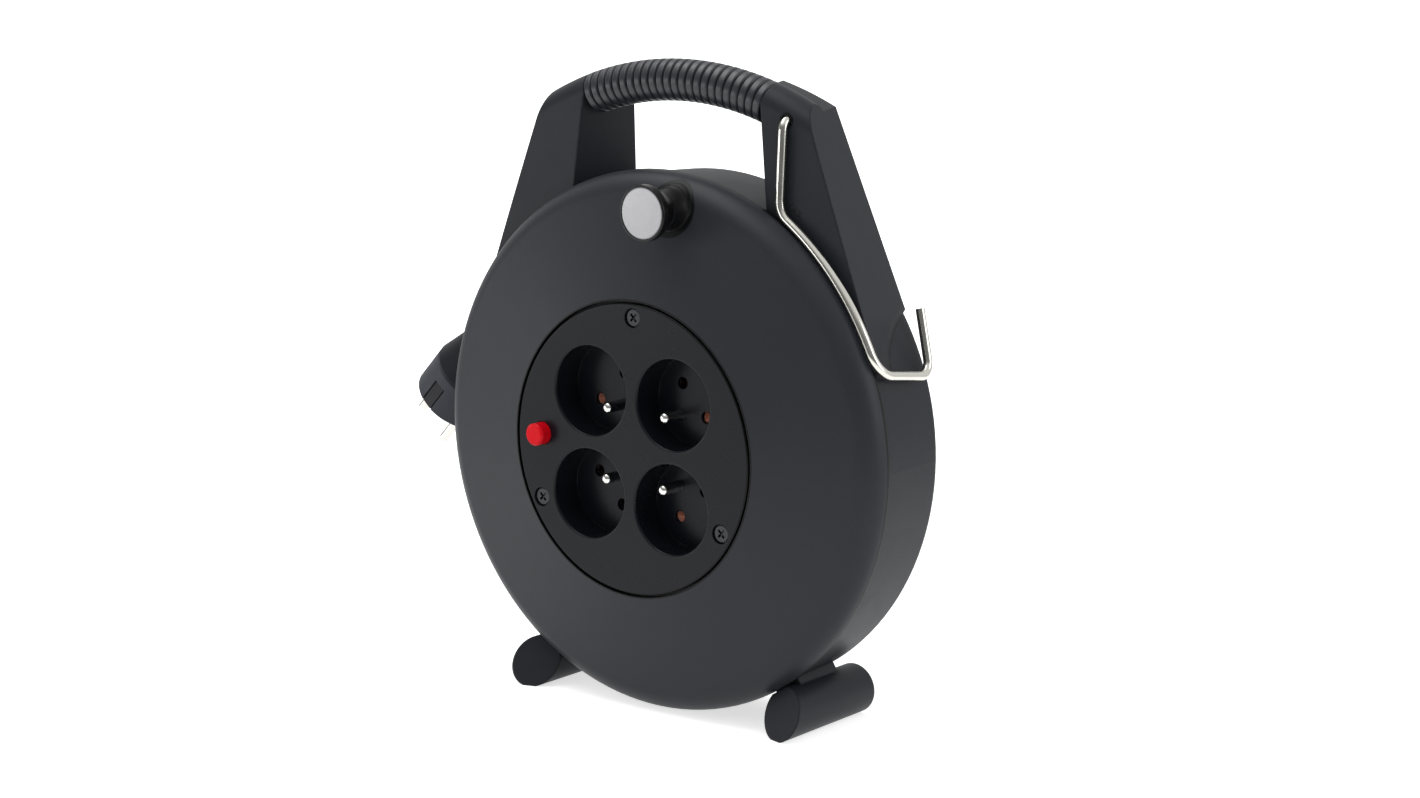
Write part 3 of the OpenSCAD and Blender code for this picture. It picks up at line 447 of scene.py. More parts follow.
def grip_tree():
    """Ribbed sleeve along an arch: rings over the ribs, back through the bore, and closed."""
    builder, given, output = new_tree(
        "Ribbed Grip Sleeve",
        "GeometryNodeTree",
        [
            ("Ribs", "NodeSocketInt"),
            ("Rings per Rib", "NodeSocketInt"),
            ("Rings in Bore", "NodeSocketInt"),
            ("Sides", "NodeSocketInt"),
            ("Groove Depth", "NodeSocketFloat"),
            ("Outer Radius", "NodeSocketFloat"),
            ("Bore Radius", "NodeSocketFloat"),
            ("Arch Radius", "NodeSocketFloat"),
            ("Half Angle", "NodeSocketFloat"),
            ("Arch Centre", "NodeSocketVector"),
            ("Material", "NodeSocketMaterial"),
        ],
        [("Geometry", "NodeSocketGeometry")],
    )
    # A higher power makes the grooves narrower and the ribs broader
    groove_power = 9.0
    weld_distance = 1e-6
    outer_steps = builder.math("MULTIPLY", given["Ribs"], given["Rings per Rib"])
    last_ring = builder.math("ADD", builder.math("ADD", outer_steps, given["Rings in Bore"]), 1.0)
    grid = builder.node(
        "GeometryNodeMeshGrid",
        {
            "Size X": last_ring,
            "Size Y": given["Sides"],
            "Vertices X": builder.math("ADD", last_ring, 1.0),
            "Vertices Y": builder.math("ADD", given["Sides"], 1.0),
        },
    ).outputs[0]
    cell = builder.node(
        "ShaderNodeSeparateXYZ", {0: builder.node("GeometryNodeInputPosition").outputs[0]}
    ).outputs
    ring = builder.math("ROUND", builder.math("MULTIPLY_ADD", last_ring, 0.5, cell["X"]))
    side = builder.math("MULTIPLY_ADD", given["Sides"], 0.5, cell["Y"])

    in_bore = builder.math(
        "MULTIPLY",
        builder.math("GREATER_THAN", ring, builder.math("ADD", outer_steps, 0.5)),
        builder.math("LESS_THAN", ring, builder.math("SUBTRACT", last_ring, 0.5)),
    )
    outside = builder.math("SUBTRACT", 1.0, in_bore)
    wrapped = builder.math("GREATER_THAN", ring, builder.math("SUBTRACT", last_ring, 0.5))
    outer_share = builder.math(
        "MULTIPLY",
        builder.math("DIVIDE", ring, outer_steps),
        builder.math("SUBTRACT", 1.0, wrapped),
    )
    bore_step = builder.math("SUBTRACT", builder.math("SUBTRACT", ring, outer_steps), 1.0)
    bore_share = builder.math(
        "SUBTRACT",
        1.0,
        builder.math("DIVIDE", bore_step, builder.math("SUBTRACT", given["Rings in Bore"], 1.0)),
    )
    share = builder.math(
        "ADD",
        builder.math("MULTIPLY", outer_share, outside),
        builder.math("MULTIPLY", bore_share, in_bore),
    )
    half_angle = given["Half Angle"]
    whole_angle = builder.math("MULTIPLY", builder.math("MULTIPLY", share, 2.0), half_angle)
    angle = builder.math("SUBTRACT", whole_angle, half_angle)

    wave = builder.math(
        "COSINE",
        builder.math(
            "DIVIDE", builder.math("MULTIPLY", ring, 2 * math.pi), given["Rings per Rib"]
        ),
    )
    groove = builder.math("POWER", builder.math("MULTIPLY_ADD", wave, 0.5, 0.5), groove_power)
    groove = builder.math("MAXIMUM", groove, wrapped)
    ribbed = builder.math(
        "SUBTRACT", given["Outer Radius"], builder.math("MULTIPLY", groove, given["Groove Depth"])
    )
    radius = builder.math(
        "ADD",
        builder.math("MULTIPLY", ribbed, outside),
        builder.math("MULTIPLY", given["Bore Radius"], in_bore),
    )
    around = builder.math(
        "DIVIDE", builder.math("MULTIPLY", side, 2 * math.pi), given["Sides"]
    )
    rise = builder.math("MULTIPLY", radius, builder.math("COSINE", around))
    reach = builder.math("ADD", given["Arch Radius"], rise)
    offset = builder.node(
        "ShaderNodeCombineXYZ",
        {
            "X": builder.math("MULTIPLY", reach, builder.math("SINE", angle)),
            "Y": builder.math("MULTIPLY", radius, builder.math("SINE", around)),
            "Z": builder.math("MULTIPLY", reach, builder.math("COSINE", angle)),
        },
    ).outputs[0]
    marked = builder.node(
        "GeometryNodeStoreNamedAttribute",
        {"Geometry": grid, "Name": "groove", "Value": groove},
        data_type="FLOAT",
        domain="POINT",
    ).outputs[0]
    swept = builder.node(
        "GeometryNodeSetPosition",
        {
            "Geometry": marked,
            "Position": builder.vector_math("ADD", offset, given["Arch Centre"]),
        },
    ).outputs[0]
    closed = builder.node(
        "GeometryNodeMergeByDistance", {"Geometry": swept, "Distance": weld_distance}
    ).outputs[0]
    smooth = builder.node("GeometryNodeSetShadeSmooth", {"Geometry": closed}).outputs[0]
    finish_tree(builder, smooth, given["Material"], output)
    return builder.tree


def finish_tree(builder, geometry, material, output):
    """Ends a geometry tree in real geometry with its material."""
    real = builder.node("GeometryNodeRealizeInstances", {"Geometry": geometry}).outputs[0]
    dressed = builder.node("GeometryNodeSetMaterial", {"Geometry": real, "Material": material})
    builder.feed(output.inputs[0], dressed.outputs[0])


# ---- Shared shader groups ----


def moulded_grain_group():
    """Fine spark-eroded grain, and the slow drift in tone and gloss of a moulded wall."""
    builder, given, output = new_tree(
        "Moulded Grain",
        "ShaderNodeTree",
        [
            ("Colour", "NodeSocketColor", (0.03, 0.03, 0.035, 1.0)),
            ("Roughness", "NodeSocketFloat", 0.5),
            ("Grain Size", "NodeSocketFloat", 0.0006),
            ("Unevenness", "NodeSocketFloat", 0.1),
        ],
        [
            ("Colour", "NodeSocketColor"),
            ("Roughness", "NodeSocketFloat"),
            ("Height", "NodeSocketFloat"),
        ],
    )
    drift_scale, smear_scale = 14.0, 90.0
    speckle_depth, tone_swing, gloss_swing = 0.25, 2.0, 1.2
    place = builder.object_place()
    grain_scale = builder.math("DIVIDE", 1.0, given["Grain Size"])
    grain = builder.noise(place, grain_scale, detail=2.0, roughness=0.6)
    drift = builder.noise(place, drift_scale, detail=3.0, roughness=0.55)
    smear = builder.noise(place, smear_scale, detail=4.0, roughness=0.65, distortion=0.6)
    swing = builder.math("MULTIPLY", builder.math("SUBTRACT", drift, 0.5), given["Unevenness"])
    speckle = builder.math("MULTIPLY", builder.math("SUBTRACT", grain, 0.5), speckle_depth)
    tone = builder.math("ADD", builder.math("MULTIPLY_ADD", swing, tone_swing, 1.0), speckle)
    smears = builder.math("MULTIPLY", builder.math("SUBTRACT", smear, 0.5), given["Unevenness"])
    gloss_change = builder.math("MULTIPLY_ADD", smears, gloss_swing, swing)
    values = {
        "Colour": builder.vector_math("MULTIPLY", given["Colour"], tone),
        "Roughness": builder.math("ADD", given["Roughness"], gloss_change),
        "Height": grain,
    }
    builder.feed_all(output, values)
    return builder.tree


def rounded_edge_group():
    """Normal that runs smoothly over sharp edges, and a mask of those edges with handling wear."""
    builder, given, output = new_tree(
        "Rounded Edges",
        "ShaderNodeTree",
        [("Radius", "NodeSocketFloat", 0.0004), ("Wear", "NodeSocketFloat", 0.3)],
        [("Normal", "NodeSocketVector"), ("Worn", "NodeSocketFloat")],
    )
    patch_scale = 260.0
    # How far the bevel turns the normal where wear begins and where it is whole
    least_turn, full_turn = 0.03, 0.25
    patch_start, patch_full = 0.42, 0.7
    rounded = builder.node("ShaderNodeBevel", {"Radius": given["Radius"]}, samples=4).outputs[0]
    plain = builder.node("ShaderNodeNewGeometry").outputs["Normal"]
    turned = builder.math("SUBTRACT", 1.0, builder.vector_math("DOT_PRODUCT", rounded, plain))
    edge = builder.smooth_step(turned, least_turn, full_turn)
    patches = builder.noise(builder.object_place(), patch_scale, detail=3.0, roughness=0.7)
    broken = builder.smooth_step(patches, patch_start, patch_full)
    worn = builder.math("MULTIPLY", builder.math("MULTIPLY", edge, broken), given["Wear"])
    builder.feed_all(output, {"Normal": rounded, "Worn": worn})
    return builder.tree


def plated_metal_group():
    """Hairline marks and a slow drift in gloss on a plated or turned metal."""
    builder, given, output = new_tree(
        "Plated Metal",
        "ShaderNodeTree",
        [
            ("Colour", "NodeSocketColor", (0.8, 0.8, 0.82, 1.0)),
            ("Roughness", "NodeSocketFloat", 0.15),
            ("Line Size", "NodeSocketFloat", 0.0004),
        ],
        [
            ("Colour", "NodeSocketColor"),
            ("Roughness", "NodeSocketFloat"),
            ("Height", "NodeSocketFloat"),
        ],
    )
    drift_scale = 120.0
    tone_swing, gloss_swing = 0.16, 0.8
    # The hairlines run along Z
    stretch = (1.0, 1.0, 0.08)
    place = builder.object_place()
    stretched = builder.vector_math("MULTIPLY", place, stretch)
    line_scale = builder.math("DIVIDE", 1.0, given["Line Size"])
    drift = builder.noise(place, drift_scale, detail=3.0)
    tone = builder.math("MULTIPLY_ADD", drift, tone_swing, 1.0 - tone_swing / 2)
    gloss = builder.math("MULTIPLY_ADD", drift, gloss_swing, 1.0 - gloss_swing / 2)
    values = {
        "Colour": builder.vector_math("MULTIPLY", given["Colour"], tone),
        "Roughness": builder.math("MULTIPLY", given["Roughness"], gloss),
        "Height": builder.noise(stretched, line_scale, detail=3.0, roughness=0.7),
    }
    builder.feed_all(output, values)
    return builder.tree


SHARED_GROUPS = {}


def shared_group(make):
    """The node group that the function makes, built on its first use."""
    if make not in SHARED_GROUPS:
        SHARED_GROUPS[make] = make()
    return SHARED_GROUPS[make]


# ---- Materials ----


def new_material(name):
    """A material with only a Principled shader. Returns it, its builder and the shader."""
    material = bpy.data.materials.new(name)
    material.use_nodes = True
    material.node_tree.nodes.clear()
    builder = TreeBuilder(material.node_tree)
    shader = builder.node("ShaderNodeBsdfPrincipled")
    builder.node("ShaderNodeOutputMaterial", {"Surface": shader.outputs[0]})
    return material, builder, shader


def raise_surface(builder, shader, strength, depth, height, edges):
    """Bumps the shader's surface by the height, on top of its rounded edges."""
    inputs = {
        "Strength": strength, "Distance": depth, "Height": height, "Normal": edges.outputs["Normal"]
    }
    bump = builder.node("ShaderNodeBump", inputs).outputs[0]
    builder.feed(shader.inputs["Normal"], bump)


def distance_along(builder, point, direction):
    """How far the shaded place lies beyond the point along the direction."""
    away = builder.vector_math("SUBTRACT", builder.object_place(), tuple(point))
    return builder.vector_math("DOT_PRODUCT", away, tuple(direction))


def distance_from_line(builder, point):
    """How far the shaded place is from the line through the point along Y."""
    away = builder.vector_math("SUBTRACT", builder.object_place(), tuple(point))
    return builder.vector_math("LENGTH", builder.vector_math("MULTIPLY", away, (1.0, 0.0, 1.0)))


def moulded_plastic(
    name, colour, roughness, grain=0.0006, depth=0.00003, edge=0.0004, wear=0.25,
    unevenness=0.08, specular=0.4, shade_tone=None, shade_rings=(), shaded=None,
):
    """Moulded plastic or rubber, with up to three kinds of painted shade.

    The shade tone is (colour, start point, direction): beyond the start point along the direction
    the piece has that colour, as painted shade.
    The shade rings are (point, radius, side): as painted shade, the piece is dark outside the radius
    from the line through the point along Y for a side of 1, or inside it for a side of -1.
    shaded names a mesh attribute that is 1 where a groove keeps the light out; there the piece is painted dark as
    painted shade.
    """
    # Painted shade is this share of the piece's colour
    dark_share = 0.12
    scuff_gain, scuff_lift = 2.2, 0.05
    material, builder, shader = new_material(name)
    base = (*colour, 1.0)
    dark = (*(dark_share * part for part in colour), 1.0)
    scuffed = (*(min(1.0, scuff_gain * part + scuff_lift) for part in colour), 1.0)
    if shade_tone:
        other, start, direction = shade_tone
        along = distance_along(builder, start, direction)
        mask = builder.smooth_step(along, -COLOUR_BLEND, COLOUR_BLEND)
        base = builder.mix_colour(mask, base, (*other, 1.0))
    for point, shade_radius, side in shade_rings:
        past = builder.math("SUBTRACT", distance_from_line(builder, point), shade_radius)
        mask = builder.smooth_step(builder.math("MULTIPLY", past, side), 0.0, COLOUR_BLEND)
        base = builder.mix_colour(mask, base, dark)
    if shaded:
        mask = builder.node("ShaderNodeAttribute", attribute_name=shaded).outputs["Fac"]
        base = builder.mix_colour(mask, base, dark)
    moulded = builder.node("ShaderNodeGroup", node_tree=shared_group(moulded_grain_group))
    values = {
        "Colour": base, "Roughness": roughness, "Grain Size": grain, "Unevenness": unevenness
    }
    builder.feed_all(moulded, values)
    edges = builder.node("ShaderNodeGroup", node_tree=shared_group(rounded_edge_group))
    builder.feed_all(edges, {"Radius": edge, "Wear": wear})
    toned = builder.mix_colour(edges.outputs["Worn"], moulded.outputs["Colour"], scuffed)
    builder.feed_all(
        shader,
        {
            "Base Color": toned,
            "Roughness": moulded.outputs["Roughness"],
            "Specular IOR Level": specular,
        },
    )
    raise_surface(builder, shader, 0.6, depth, moulded.outputs["Height"], edges)
    return material


def plated_metal(name, colour, roughness, depth=0.000004, hole_shade=None):
    """Bright metal with hairline marks. Where a painted shade of (colour, direction, distance) is given,
    the piece has that colour beyond the distance from the drum's axis along the direction, as painted shade."""
    line_size = 0.0004
    edge = 0.0003
    shade_blend = 0.004
    material, builder, shader = new_material(name)
    base = (*colour, 1.0)
    if hole_shade:
        dark_tint, direction, distance = hole_shade
        along = distance_along(builder, DRUM_AXIS, direction)
        mask = builder.smooth_step(along, distance - shade_blend, distance + shade_blend)
        base = builder.mix_colour(mask, base, (*dark_tint, 1.0))
    plated = builder.node("ShaderNodeGroup", node_tree=shared_group(plated_metal_group))
    builder.feed_all(plated, {"Colour": base, "Roughness": roughness, "Line Size": line_size})
    edges = builder.node("ShaderNodeGroup", node_tree=shared_group(rounded_edge_group))
    builder.feed_all(edges, {"Radius": edge})
    builder.feed_all(
        shader,
        {
            "Base Color": plated.outputs["Colour"],
            "Roughness": plated.outputs["Roughness"],
            "Metallic": 1.0,
        },
    )
    raise_surface(builder, shader, 0.4, depth, plated.outputs["Height"], edges)
    return material


def dress(nodes, material):
    """Gives CAD nodes one material."""
    for name in nodes:
        mesh = frame["nodes"][name].data
        mesh.materials.clear()
        mesh.materials.append(material)


# ---- Cord, winding and grip ----


def plug_line(settings):
    """Where the lead leaves the winding, its direction and its length up to the plug's neck."""
    upper, lower = MOUNTS["plug_pin_upper"], MOUNTS["plug_pin_lower"]
    direction = Vector(upper["axis"]).normalized()
    pins = (Vector(upper["pos_m"]) + Vector(lower["pos_m"])) / 2
    reach = (pins - DRUM_AXIS).dot(direction)
    start = pins - direction * reach
    return start, direction, reach - settings.pin_middle - settings.plug_length


class CORDREEL_OT_supply_cord(bpy.types.Operator):
    """Lay the supply cord's free end from the winding through its outlet to the plug"""

    bl_idname = "cord_reel.supply_cord"
    bl_label = "Supply Cord"
    bl_options = {"REGISTER", "UNDO"}

    def execute(self, context):
        settings = context.scene.cord_reel_cord
        start, direction, length = plug_line(settings)
        curve = bpy.data.curves.new("lead_cord", "CURVE")
        curve.dimensions = "3D"
        curve.bevel_depth = settings.diameter / 2
        curve.bevel_resolution = 6
        curve.use_fill_caps = True
        spline = curve.splines.new("POLY")
        point_count = 17
        spline.points.add(point_count - 1)
        for index, point in enumerate(spline.points):
            place = start + direction * (length * index / (point_count - 1))
            point.co = (*place, 1.0)
        spline.use_smooth = True
        sheath = moulded_plastic(
            "Cord Sheath", context.scene.cord_reel_colours.sheath, 0.55,
            grain=0.0009, depth=0.00004, wear=0.0, unevenness=0.12, specular=0.35,
        )
        curve.materials.append(sheath)
        cord = bpy.data.objects.new("lead_cord", curve)
        context.scene.collection.objects.link(cord)
        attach(cord, "frame")
        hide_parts("supply_cord")
        return {"FINISHED"}


class CORDREEL_OT_winding(bpy.types.Operator):
    """Wind the stored cord on the drum's barrel, turn by turn"""

    bl_idname = "cord_reel.winding"
    bl_label = "Winding"
    bl_options = {"REGISTER", "UNDO"}

    def execute(self, context):
        settings = context.scene.cord_reel_cord
        low, high = WINDING_BOX
        spare = (high.y - low.y) - settings.turns_across * settings.diameter
        if spare < 0:
            raise RuntimeError("the turns don't fit between the drum's flanges")
        winding = mesh_from_tree(
            "cord_winding",
            winding_tree(),
            {
                "Cord Diameter": settings.diameter,
                "Turns Across": settings.turns_across,
                "Layers": settings.layers,
                "Points per Turn": 40,
                "Barrel Radius": settings.barrel_radius,
                "Front": low.y + spare / 2,
                "Axis Height": DRUM_AXIS.z,
                "Material": bpy.data.materials["Cord Sheath"],
            },
        )
        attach(winding, "drum")
        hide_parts("wound_cord")
        return {"FINISHED"}


class CORDREEL_OT_grip(bpy.types.Operator):
    """Form the ribbed sleeve round the handle's bar"""

    bl_idname = "cord_reel.grip"
    bl_label = "Ribbed Grip"
    bl_options = {"REGISTER", "UNDO"}

    def execute(self, context):
        settings = context.scene.cord_reel_grip
        low, high = GRIP_BOX
        rubber = moulded_plastic(
            "Grip Rubber", context.scene.cord_reel_colours.grip, 0.34,
            grain=0.0007, depth=0.00002, edge=0.0002, wear=0.0, unevenness=0.12, specular=0.5,
            shaded="groove",
        )
        grip = mesh_from_tree(
            "grip_ribs",
            grip_tree(),
            {
                "Ribs": settings.ribs,
                "Rings per Rib": 16,
                "Rings in Bore": 25,
                "Sides": 64,
                "Groove Depth": settings.groove_depth,
                "Outer Radius": settings.outer_radius,
                "Bore Radius": settings.bore_radius,
                "Arch Radius": settings.arch_radius,
                "Half Angle": settings.half_angle,
                "Arch Centre": (0.0, (low.y + high.y) / 2, DRUM_AXIS.z + settings.arch_rise),
                "Material": rubber,
            },
        )
        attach(grip, "frame")
        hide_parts("grip_sleeve")
        return {"FINISHED"}


# ---- Finishes of the CAD nodes ----


class CORDREEL_OT_shell_finish(bpy.types.Operator):
    """Finish the housing, posts, feet and flange in charcoal moulded plastic"""

    bl_idname = "cord_reel.shell_finish"
    bl_label = "Shell Finish"
    bl_options = {"REGISTER", "UNDO"}

    def execute(self, context):
        colours = context.scene.cord_reel_colours
        # Painted shade: the edges on both sides of the gap behind the flange's rim are painted near black
        housing_edge = (0.0, -0.0042, 0.0)
        rim_edge = (0.0, -0.0078, 0.0)
        # Painted shade on the flange inside the edge of the plate's pocket and over the knob's boss
        pocket_edge = (DRUM_AXIS, 0.0660, -1.0)
        knob_boss = (KNOB_AXIS, 0.0122, -1.0)
        housing = moulded_plastic(
            "Charcoal Housing", colours.shell, 0.46, edge=0.0006, specular=0.18,
            shade_tone=(GAP_SHADE, housing_edge, TOWARDS_FRONT),
        )
        frame_parts = moulded_plastic(
            "Charcoal Frame", colours.shell, 0.44, edge=0.0014, specular=0.16
        )
        flange = moulded_plastic(
            "Charcoal Flange", colours.flange, 0.42,
            depth=0.000025, edge=0.0006, unevenness=0.07, specular=0.2,
            shade_tone=(GAP_SHADE, rim_edge, TOWARDS_BACK),
            shade_rings=[pocket_edge, knob_boss],
        )
        dress(["rear_housing", "outlet_bush"], housing)
        dress(["left_post", "right_post", "grip_bar", "left_foot", "right_foot"], frame_parts)
        dress(["drum_front"], flange)
        return {"FINISHED"}


class CORDREEL_OT_socket_finish(bpy.types.Operator):
    """Finish the socket plate with its recesses, screws, earth pins and contacts"""

    bl_idname = "cord_reel.socket_finish"
    bl_label = "Socket Finish"
    bl_options = {"REGISTER", "UNDO"}

    def execute(self, context):
        colours = context.scene.cord_reel_colours
        # Painted shade on the plate's rim, in the groove round it
        plate_edge = (DRUM_AXIS, 0.0632, 1.0)
        plate = moulded_plastic(
            "Black Socket Plate", colours.plate, 0.28,
            grain=0.0004, depth=0.000005, edge=0.0005, wear=0.1, unevenness=0.04, specular=0.18,
            shade_rings=[plate_edge],
        )
        dress(["socket_plate"], plate)
        dress(["plate_screws"], plated_metal("Screw Black Zinc", (0.048, 0.049, 0.053), 0.26))
        dress(["earth_contacts"], plated_metal("Earth Pin Nickel", (0.84, 0.83, 0.80), 0.2))
        # The contacts in some sockets are painted dark as painted shade, so that only the others show their bright
        # bronze
        bronze, shaded_bronze = (0.97, 0.72, 0.63), (0.20, 0.14, 0.12)
        low_right, left = (0.707, 0.0, -0.707), (-1.0, 0.0, 0.0)
        live_shade = (shaded_bronze, low_right, -0.016)
        neutral_shade = (shaded_bronze, left, 0.0)
        dress(["live_contacts"], plated_metal("Live Bronze", bronze, 0.4, hole_shade=live_shade))
        dress(
            ["neutral_contacts"],
            plated_metal("Neutral Bronze", bronze, 0.4, hole_shade=neutral_shade),
        )
        return {"FINISHED"}


class CORDREEL_OT_control_finish(bpy.types.Operator):
    """Finish the crank knob, its disc and the reset button"""

    bl_idname = "cord_reel.control_finish"
    bl_label = "Knob and Button Finish"
    bl_options = {"REGISTER", "UNDO"}

    def execute(self, context):
        colours = context.scene.cord_reel_colours
        knob = moulded_plastic(
            "Knob Black", (0.0025, 0.0025, 0.0030), 0.28,
            depth=0.000015, wear=0.1, unevenness=0.06, specular=0.3,
        )
        disc = moulded_plastic(
            "Knob Disc", colours.knob_disc, 0.3,
            depth=0.00001, edge=0.0003, wear=0.0, unevenness=0.05, specular=0.25,
        )
        button = moulded_plastic(
            "Button Red", colours.button, 0.2,
            depth=0.000006, edge=0.0008, wear=0.0, unevenness=0.05, specular=0.12,
        )
        dress(["knob"], knob)
        dress(["knob_cap"], disc)
        dress(["reset_button"], button)
        return {"FINISHED"}


class CORDREEL_OT_metal_finish(bpy.types.Operator):
    """Finish the wire hook, the plug and its pins, and the outer fasteners"""

    bl_idname = "cord_reel.metal_finish"
    bl_label = "Hook and Plug Finish"
    bl_options = {"REGISTER", "UNDO"}

    def execute(self, context):
        settings = context.scene.cord_reel_cord
        start, direction, length = plug_line(settings)
        # From its face back to the step in its body the plug keeps its own paler tone; behind the step it is
        # painted dark as painted shade
        pale_length = 0.0201
        step = start + direction * (length + settings.plug_length - pale_length)
        rear_shade = (0.0100, 0.0108, 0.0145)
        plug = moulded_plastic(
            "Plug Rubber", (0.044, 0.046, 0.056), 0.5,
            grain=0.0008, depth=0.00004, wear=0.1, unevenness=0.1, specular=0.16,
            shade_tone=(rear_shade, step, -direction),
        )
        dress(["plug_body"], plug)
        dress(["plug_pins"], plated_metal("Plug Nickel", (0.72, 0.70, 0.66), 0.2))
        # The earth clips are painted near black, as painted shade for the dark slot they sit in
        dress(["plug_earth_clips"], plated_metal("Earth Clip Shaded Steel", (0.030, 0.030, 0.033), 0.3))
        zinc = plated_metal("Hook Zinc", (0.70, 0.69, 0.63), 0.16, depth=0.0000006)
        dress(["wire_hook", "hook_clip"], zinc)
        dress(
            ["retaining_washer", "spindle_screw", "drum_screws", "knob_pin"],
            plated_metal("Fastener Steel", (0.60, 0.60, 0.61), 0.3),
        )
        return {"FINISHED"}


class CORDREEL_OT_inner_finish(bpy.types.Operator):
    """Finish the parts that the housing closes in"""

    bl_idname = "cord_reel.inner_finish"
    bl_label = "Inner Finish"
    bl_options = {"REGISTER", "UNDO"}

    def execute(self, context):
        inner = moulded_plastic("Inner Grey", (0.075, 0.078, 0.084), 0.5, wear=0.0)
        insulator = moulded_plastic("Insulator Cream", (0.62, 0.58, 0.48), 0.45, wear=0.0)
        dress(["drum_rear_flange", "thermal_cutout"], inner)
        dress(["contact_carrier", "terminal_block", "cord_clamp"], insulator)
        dress(["drum_bush"], plated_metal("Bush Brass", (0.78, 0.60, 0.33), 0.28))
        return {"FINISHED"}


# ---- Stage ----

# The camera's place and the directions of its picture's right and upper sides
CAMERA_PLACE = Vector((0.79838571, -0.99585034, 0.37551557))
CAMERA_RIGHT = Vector((0.78555768, 0.61878412, -0.00231225))
CAMERA_UP = Vector((-0.11797773, 0.15344097, 0.98108976))
LAMP_TARGET = Vector((0.0, 0.0, 0.14))


def add_lamp(name, place, width, height, power):
    """A soft rectangular lamp that faces the reel."""
    light = bpy.data.lights.new(name, "AREA")
    light.shape = "RECTANGLE"
    light.size = width
    light.size_y = height
    light.energy = power
    lamp = bpy.data.objects.new(name, light)
    bpy.context.scene.collection.objects.link(lamp)
    place = Vector(place)
    turned = (LAMP_TARGET - place).to_track_quat("-Z", "Y").to_matrix().to_4x4()
    lamp.matrix_world = Matrix.Translation(place) @ turned


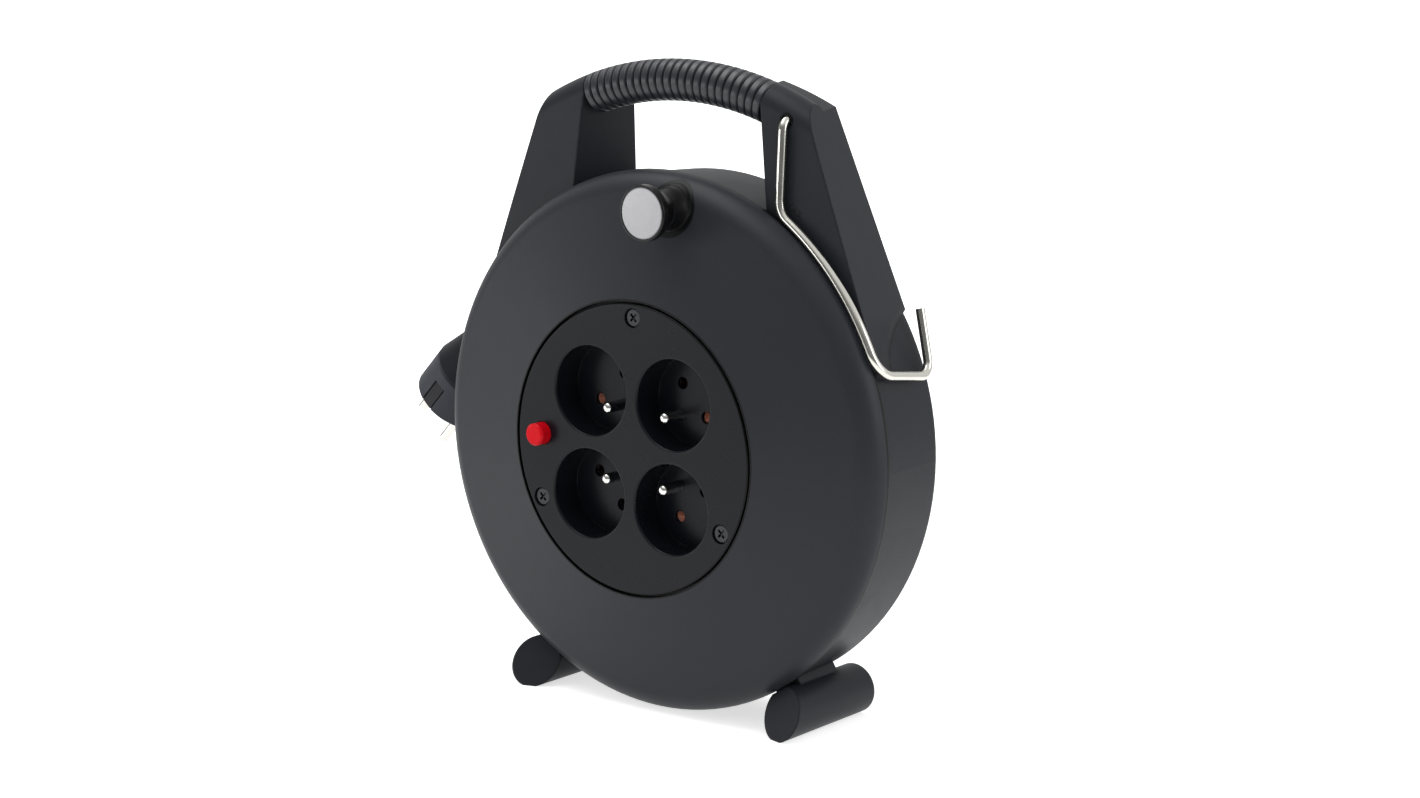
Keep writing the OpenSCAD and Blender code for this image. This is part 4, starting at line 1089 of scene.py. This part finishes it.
class CORDREEL_OT_stage(bpy.types.Operator):
    """Set the floor, the lamps, the sky and the camera"""

    bl_idname = "cord_reel.stage"
    bl_label = "Stage"
    bl_options = {"REGISTER", "UNDO"}

    def execute(self, context):
        settings = context.scene.cord_reel_stage
        self.add_floor(context, settings)
        self.add_sky(context, settings)
        add_lamp("Top Lamp", (-0.40, -0.20, 1.30), width=1.2, height=0.6, power=settings.top_lamp)
        add_lamp("Side Lamp", (1.70, 0.50, 0.75), width=0.9, height=1.2, power=settings.side_lamp)
        add_lamp(
            "Front Lamp", (-1.30, -1.10, 0.20), width=1.2, height=0.38, power=settings.front_lamp
        )
        self.add_camera(context)
        context.scene.view_settings.view_transform = "Standard"
        return {"FINISHED"}

    def add_floor(self, context, settings):
        half = 30.0
        # The floor's own glow, by its distance from the reel, as seen and as mirrored in gloss
        near, far = 0.35, 1.1
        seen_near, seen_far = 0.65, 1.15
        gloss_near, gloss_far = 0.6, 0.0
        # In gloss only, the floor is painted darker from here on in front of the reel, as a painted reflection of
        # a darker room
        dark_reflection_start, room_start = 0.9, 1.8
        room_tone = (0.10, 0.10, 0.11, 1.0)

        mesh = bpy.data.meshes.new("Floor")
        corners = [(-half, -half, 0.0), (half, -half, 0.0), (half, half, 0.0), (-half, half, 0.0)]
        mesh.from_pydata(corners, [], [(0, 1, 2, 3)])
        floor = bpy.data.objects.new("Floor", mesh)
        context.scene.collection.objects.link(floor)
        material, builder, shader = new_material("Studio Floor")
        path = builder.node("ShaderNodeLightPath").outputs
        place = builder.object_place()
        away = builder.smooth_step(builder.vector_math("LENGTH", place), near, far)
        seen = builder.math("MULTIPLY_ADD", away, seen_far - seen_near, seen_near)
        gloss = builder.math("MULTIPLY_ADD", away, gloss_far - gloss_near, gloss_near)
        lift = builder.math(
            "ADD",
            builder.math("MULTIPLY", path["Is Camera Ray"], seen),
            builder.math("MULTIPLY", path["Is Glossy Ray"], gloss),
        )
        in_front = builder.vector_math("DOT_PRODUCT", place, TOWARDS_FRONT)
        room = builder.math(
            "MULTIPLY", builder.smooth_step(in_front, dark_reflection_start, room_start), path["Is Glossy Ray"]
        )
        paper_tone = (settings.floor_tone, settings.floor_tone, settings.floor_tone, 1.0)
        builder.feed_all(
            shader,
            {
                "Base Color": builder.mix_colour(room, paper_tone, room_tone),
                "Roughness": 0.8,
                "Specular IOR Level": 0.0,
                "Emission Color": (1.0, 1.0, 1.0, 1.0),
                "Emission Strength": lift,
            },
        )
        mesh.materials.append(material)

    def add_sky(self, context, settings):
        # Gloss and metal show a white backdrop and ceiling, and a darker room in front
        room_glow, backdrop_glow = 0.2, 0.82
        # Shares of the way towards the back and upwards at which each begins and is whole
        backdrop_start, backdrop_full = -0.35, 0.15
        ceiling_start, ceiling_full = 0.35, 0.85

        world = bpy.data.worlds.new("Studio Sky")
        context.scene.world = world
        world.use_nodes = True
        world.node_tree.nodes.clear()
        builder = TreeBuilder(world.node_tree)
        path = builder.node("ShaderNodeLightPath").outputs
        direction = builder.node("ShaderNodeTexCoord").outputs["Generated"]
        backwards = builder.vector_math("DOT_PRODUCT", direction, TOWARDS_BACK)
        upwards = builder.vector_math("DOT_PRODUCT", direction, UPWARDS)
        behind = builder.smooth_step(backwards, backdrop_start, backdrop_full)
        above = builder.smooth_step(upwards, ceiling_start, ceiling_full)
        pale = builder.math("MAXIMUM", behind, above)
        mirrored = builder.math("MULTIPLY_ADD", pale, backdrop_glow - room_glow, room_glow)
        glossy = builder.math("MAXIMUM", path["Is Glossy Ray"], path["Is Transmission Ray"])
        shown = builder.math(
            "MAXIMUM", path["Is Camera Ray"], builder.math("MULTIPLY", glossy, mirrored)
        )
        lighting = builder.math(
            "MULTIPLY",
            builder.math("SUBTRACT", 1.0, builder.math("MAXIMUM", glossy, path["Is Camera Ray"])),
            settings.sky,
        )
        strength = builder.math("ADD", shown, lighting)
        white = (1.0, 1.0, 1.0, 1.0)
        sky = builder.node("ShaderNodeBackground", {"Color": white, "Strength": strength})
        builder.node("ShaderNodeOutputWorld", {"Surface": sky.outputs[0]})

    def add_camera(self, context):
        data = bpy.data.cameras.new("Camera")
        data.sensor_width = 36.0
        data.lens = 74.83
        data.shift_x = 0.00952
        data.shift_y = 0.02381
        data.clip_start = 0.05
        data.clip_end = 200.0
        camera = bpy.data.objects.new("Camera", data)
        context.scene.collection.objects.link(camera)
        axes = Matrix((CAMERA_RIGHT, CAMERA_UP, CAMERA_RIGHT.cross(CAMERA_UP)))
        camera.matrix_world = Matrix.Translation(CAMERA_PLACE) @ axes.transposed().to_4x4()
        context.scene.camera = camera


# ---- Panel and main ----

SETTINGS = {
    "cord_reel_cord": CordReelCordSettings,
    "cord_reel_grip": CordReelGripSettings,
    "cord_reel_colours": CordReelColourSettings,
    "cord_reel_stage": CordReelStageSettings,
}

OPERATORS = (
    CORDREEL_OT_supply_cord,
    CORDREEL_OT_winding,
    CORDREEL_OT_grip,
    CORDREEL_OT_shell_finish,
    CORDREEL_OT_socket_finish,
    CORDREEL_OT_control_finish,
    CORDREEL_OT_metal_finish,
    CORDREEL_OT_inner_finish,
    CORDREEL_OT_stage,
)


class CORDREEL_PT_sidebar(bpy.types.Panel):
    """Steps and settings of the cord reel"""

    bl_label = "Cord Reel"
    bl_idname = "CORDREEL_PT_sidebar"
    bl_space_type = "VIEW_3D"
    bl_region_type = "UI"
    bl_category = "Cord Reel"

    def draw(self, context):
        for operator in OPERATORS:
            self.layout.operator(operator.bl_idname)
        for name, settings in SETTINGS.items():
            box = self.layout.box()
            for label in settings.__annotations__:
                box.prop(getattr(context.scene, name), label)


CLASSES = (*SETTINGS.values(), *OPERATORS, CORDREEL_PT_sidebar)


def register():
    for each in CLASSES:
        bpy.utils.register_class(each)
    for name, settings in SETTINGS.items():
        setattr(bpy.types.Scene, name, PointerProperty(type=settings))


def unregister():
    for name in SETTINGS:
        delattr(bpy.types.Scene, name)
    for each in reversed(CLASSES):
        bpy.utils.unregister_class(each)


def main():
    register()
    bpy.ops.cord_reel.supply_cord()
    bpy.ops.cord_reel.winding()
    bpy.ops.cord_reel.grip()
    bpy.ops.cord_reel.shell_finish()
    bpy.ops.cord_reel.socket_finish()
    bpy.ops.cord_reel.control_finish()
    bpy.ops.cord_reel.metal_finish()
    bpy.ops.cord_reel.inner_finish()
    bpy.ops.cord_reel.stage()


if __name__ == "__main__":
    main()
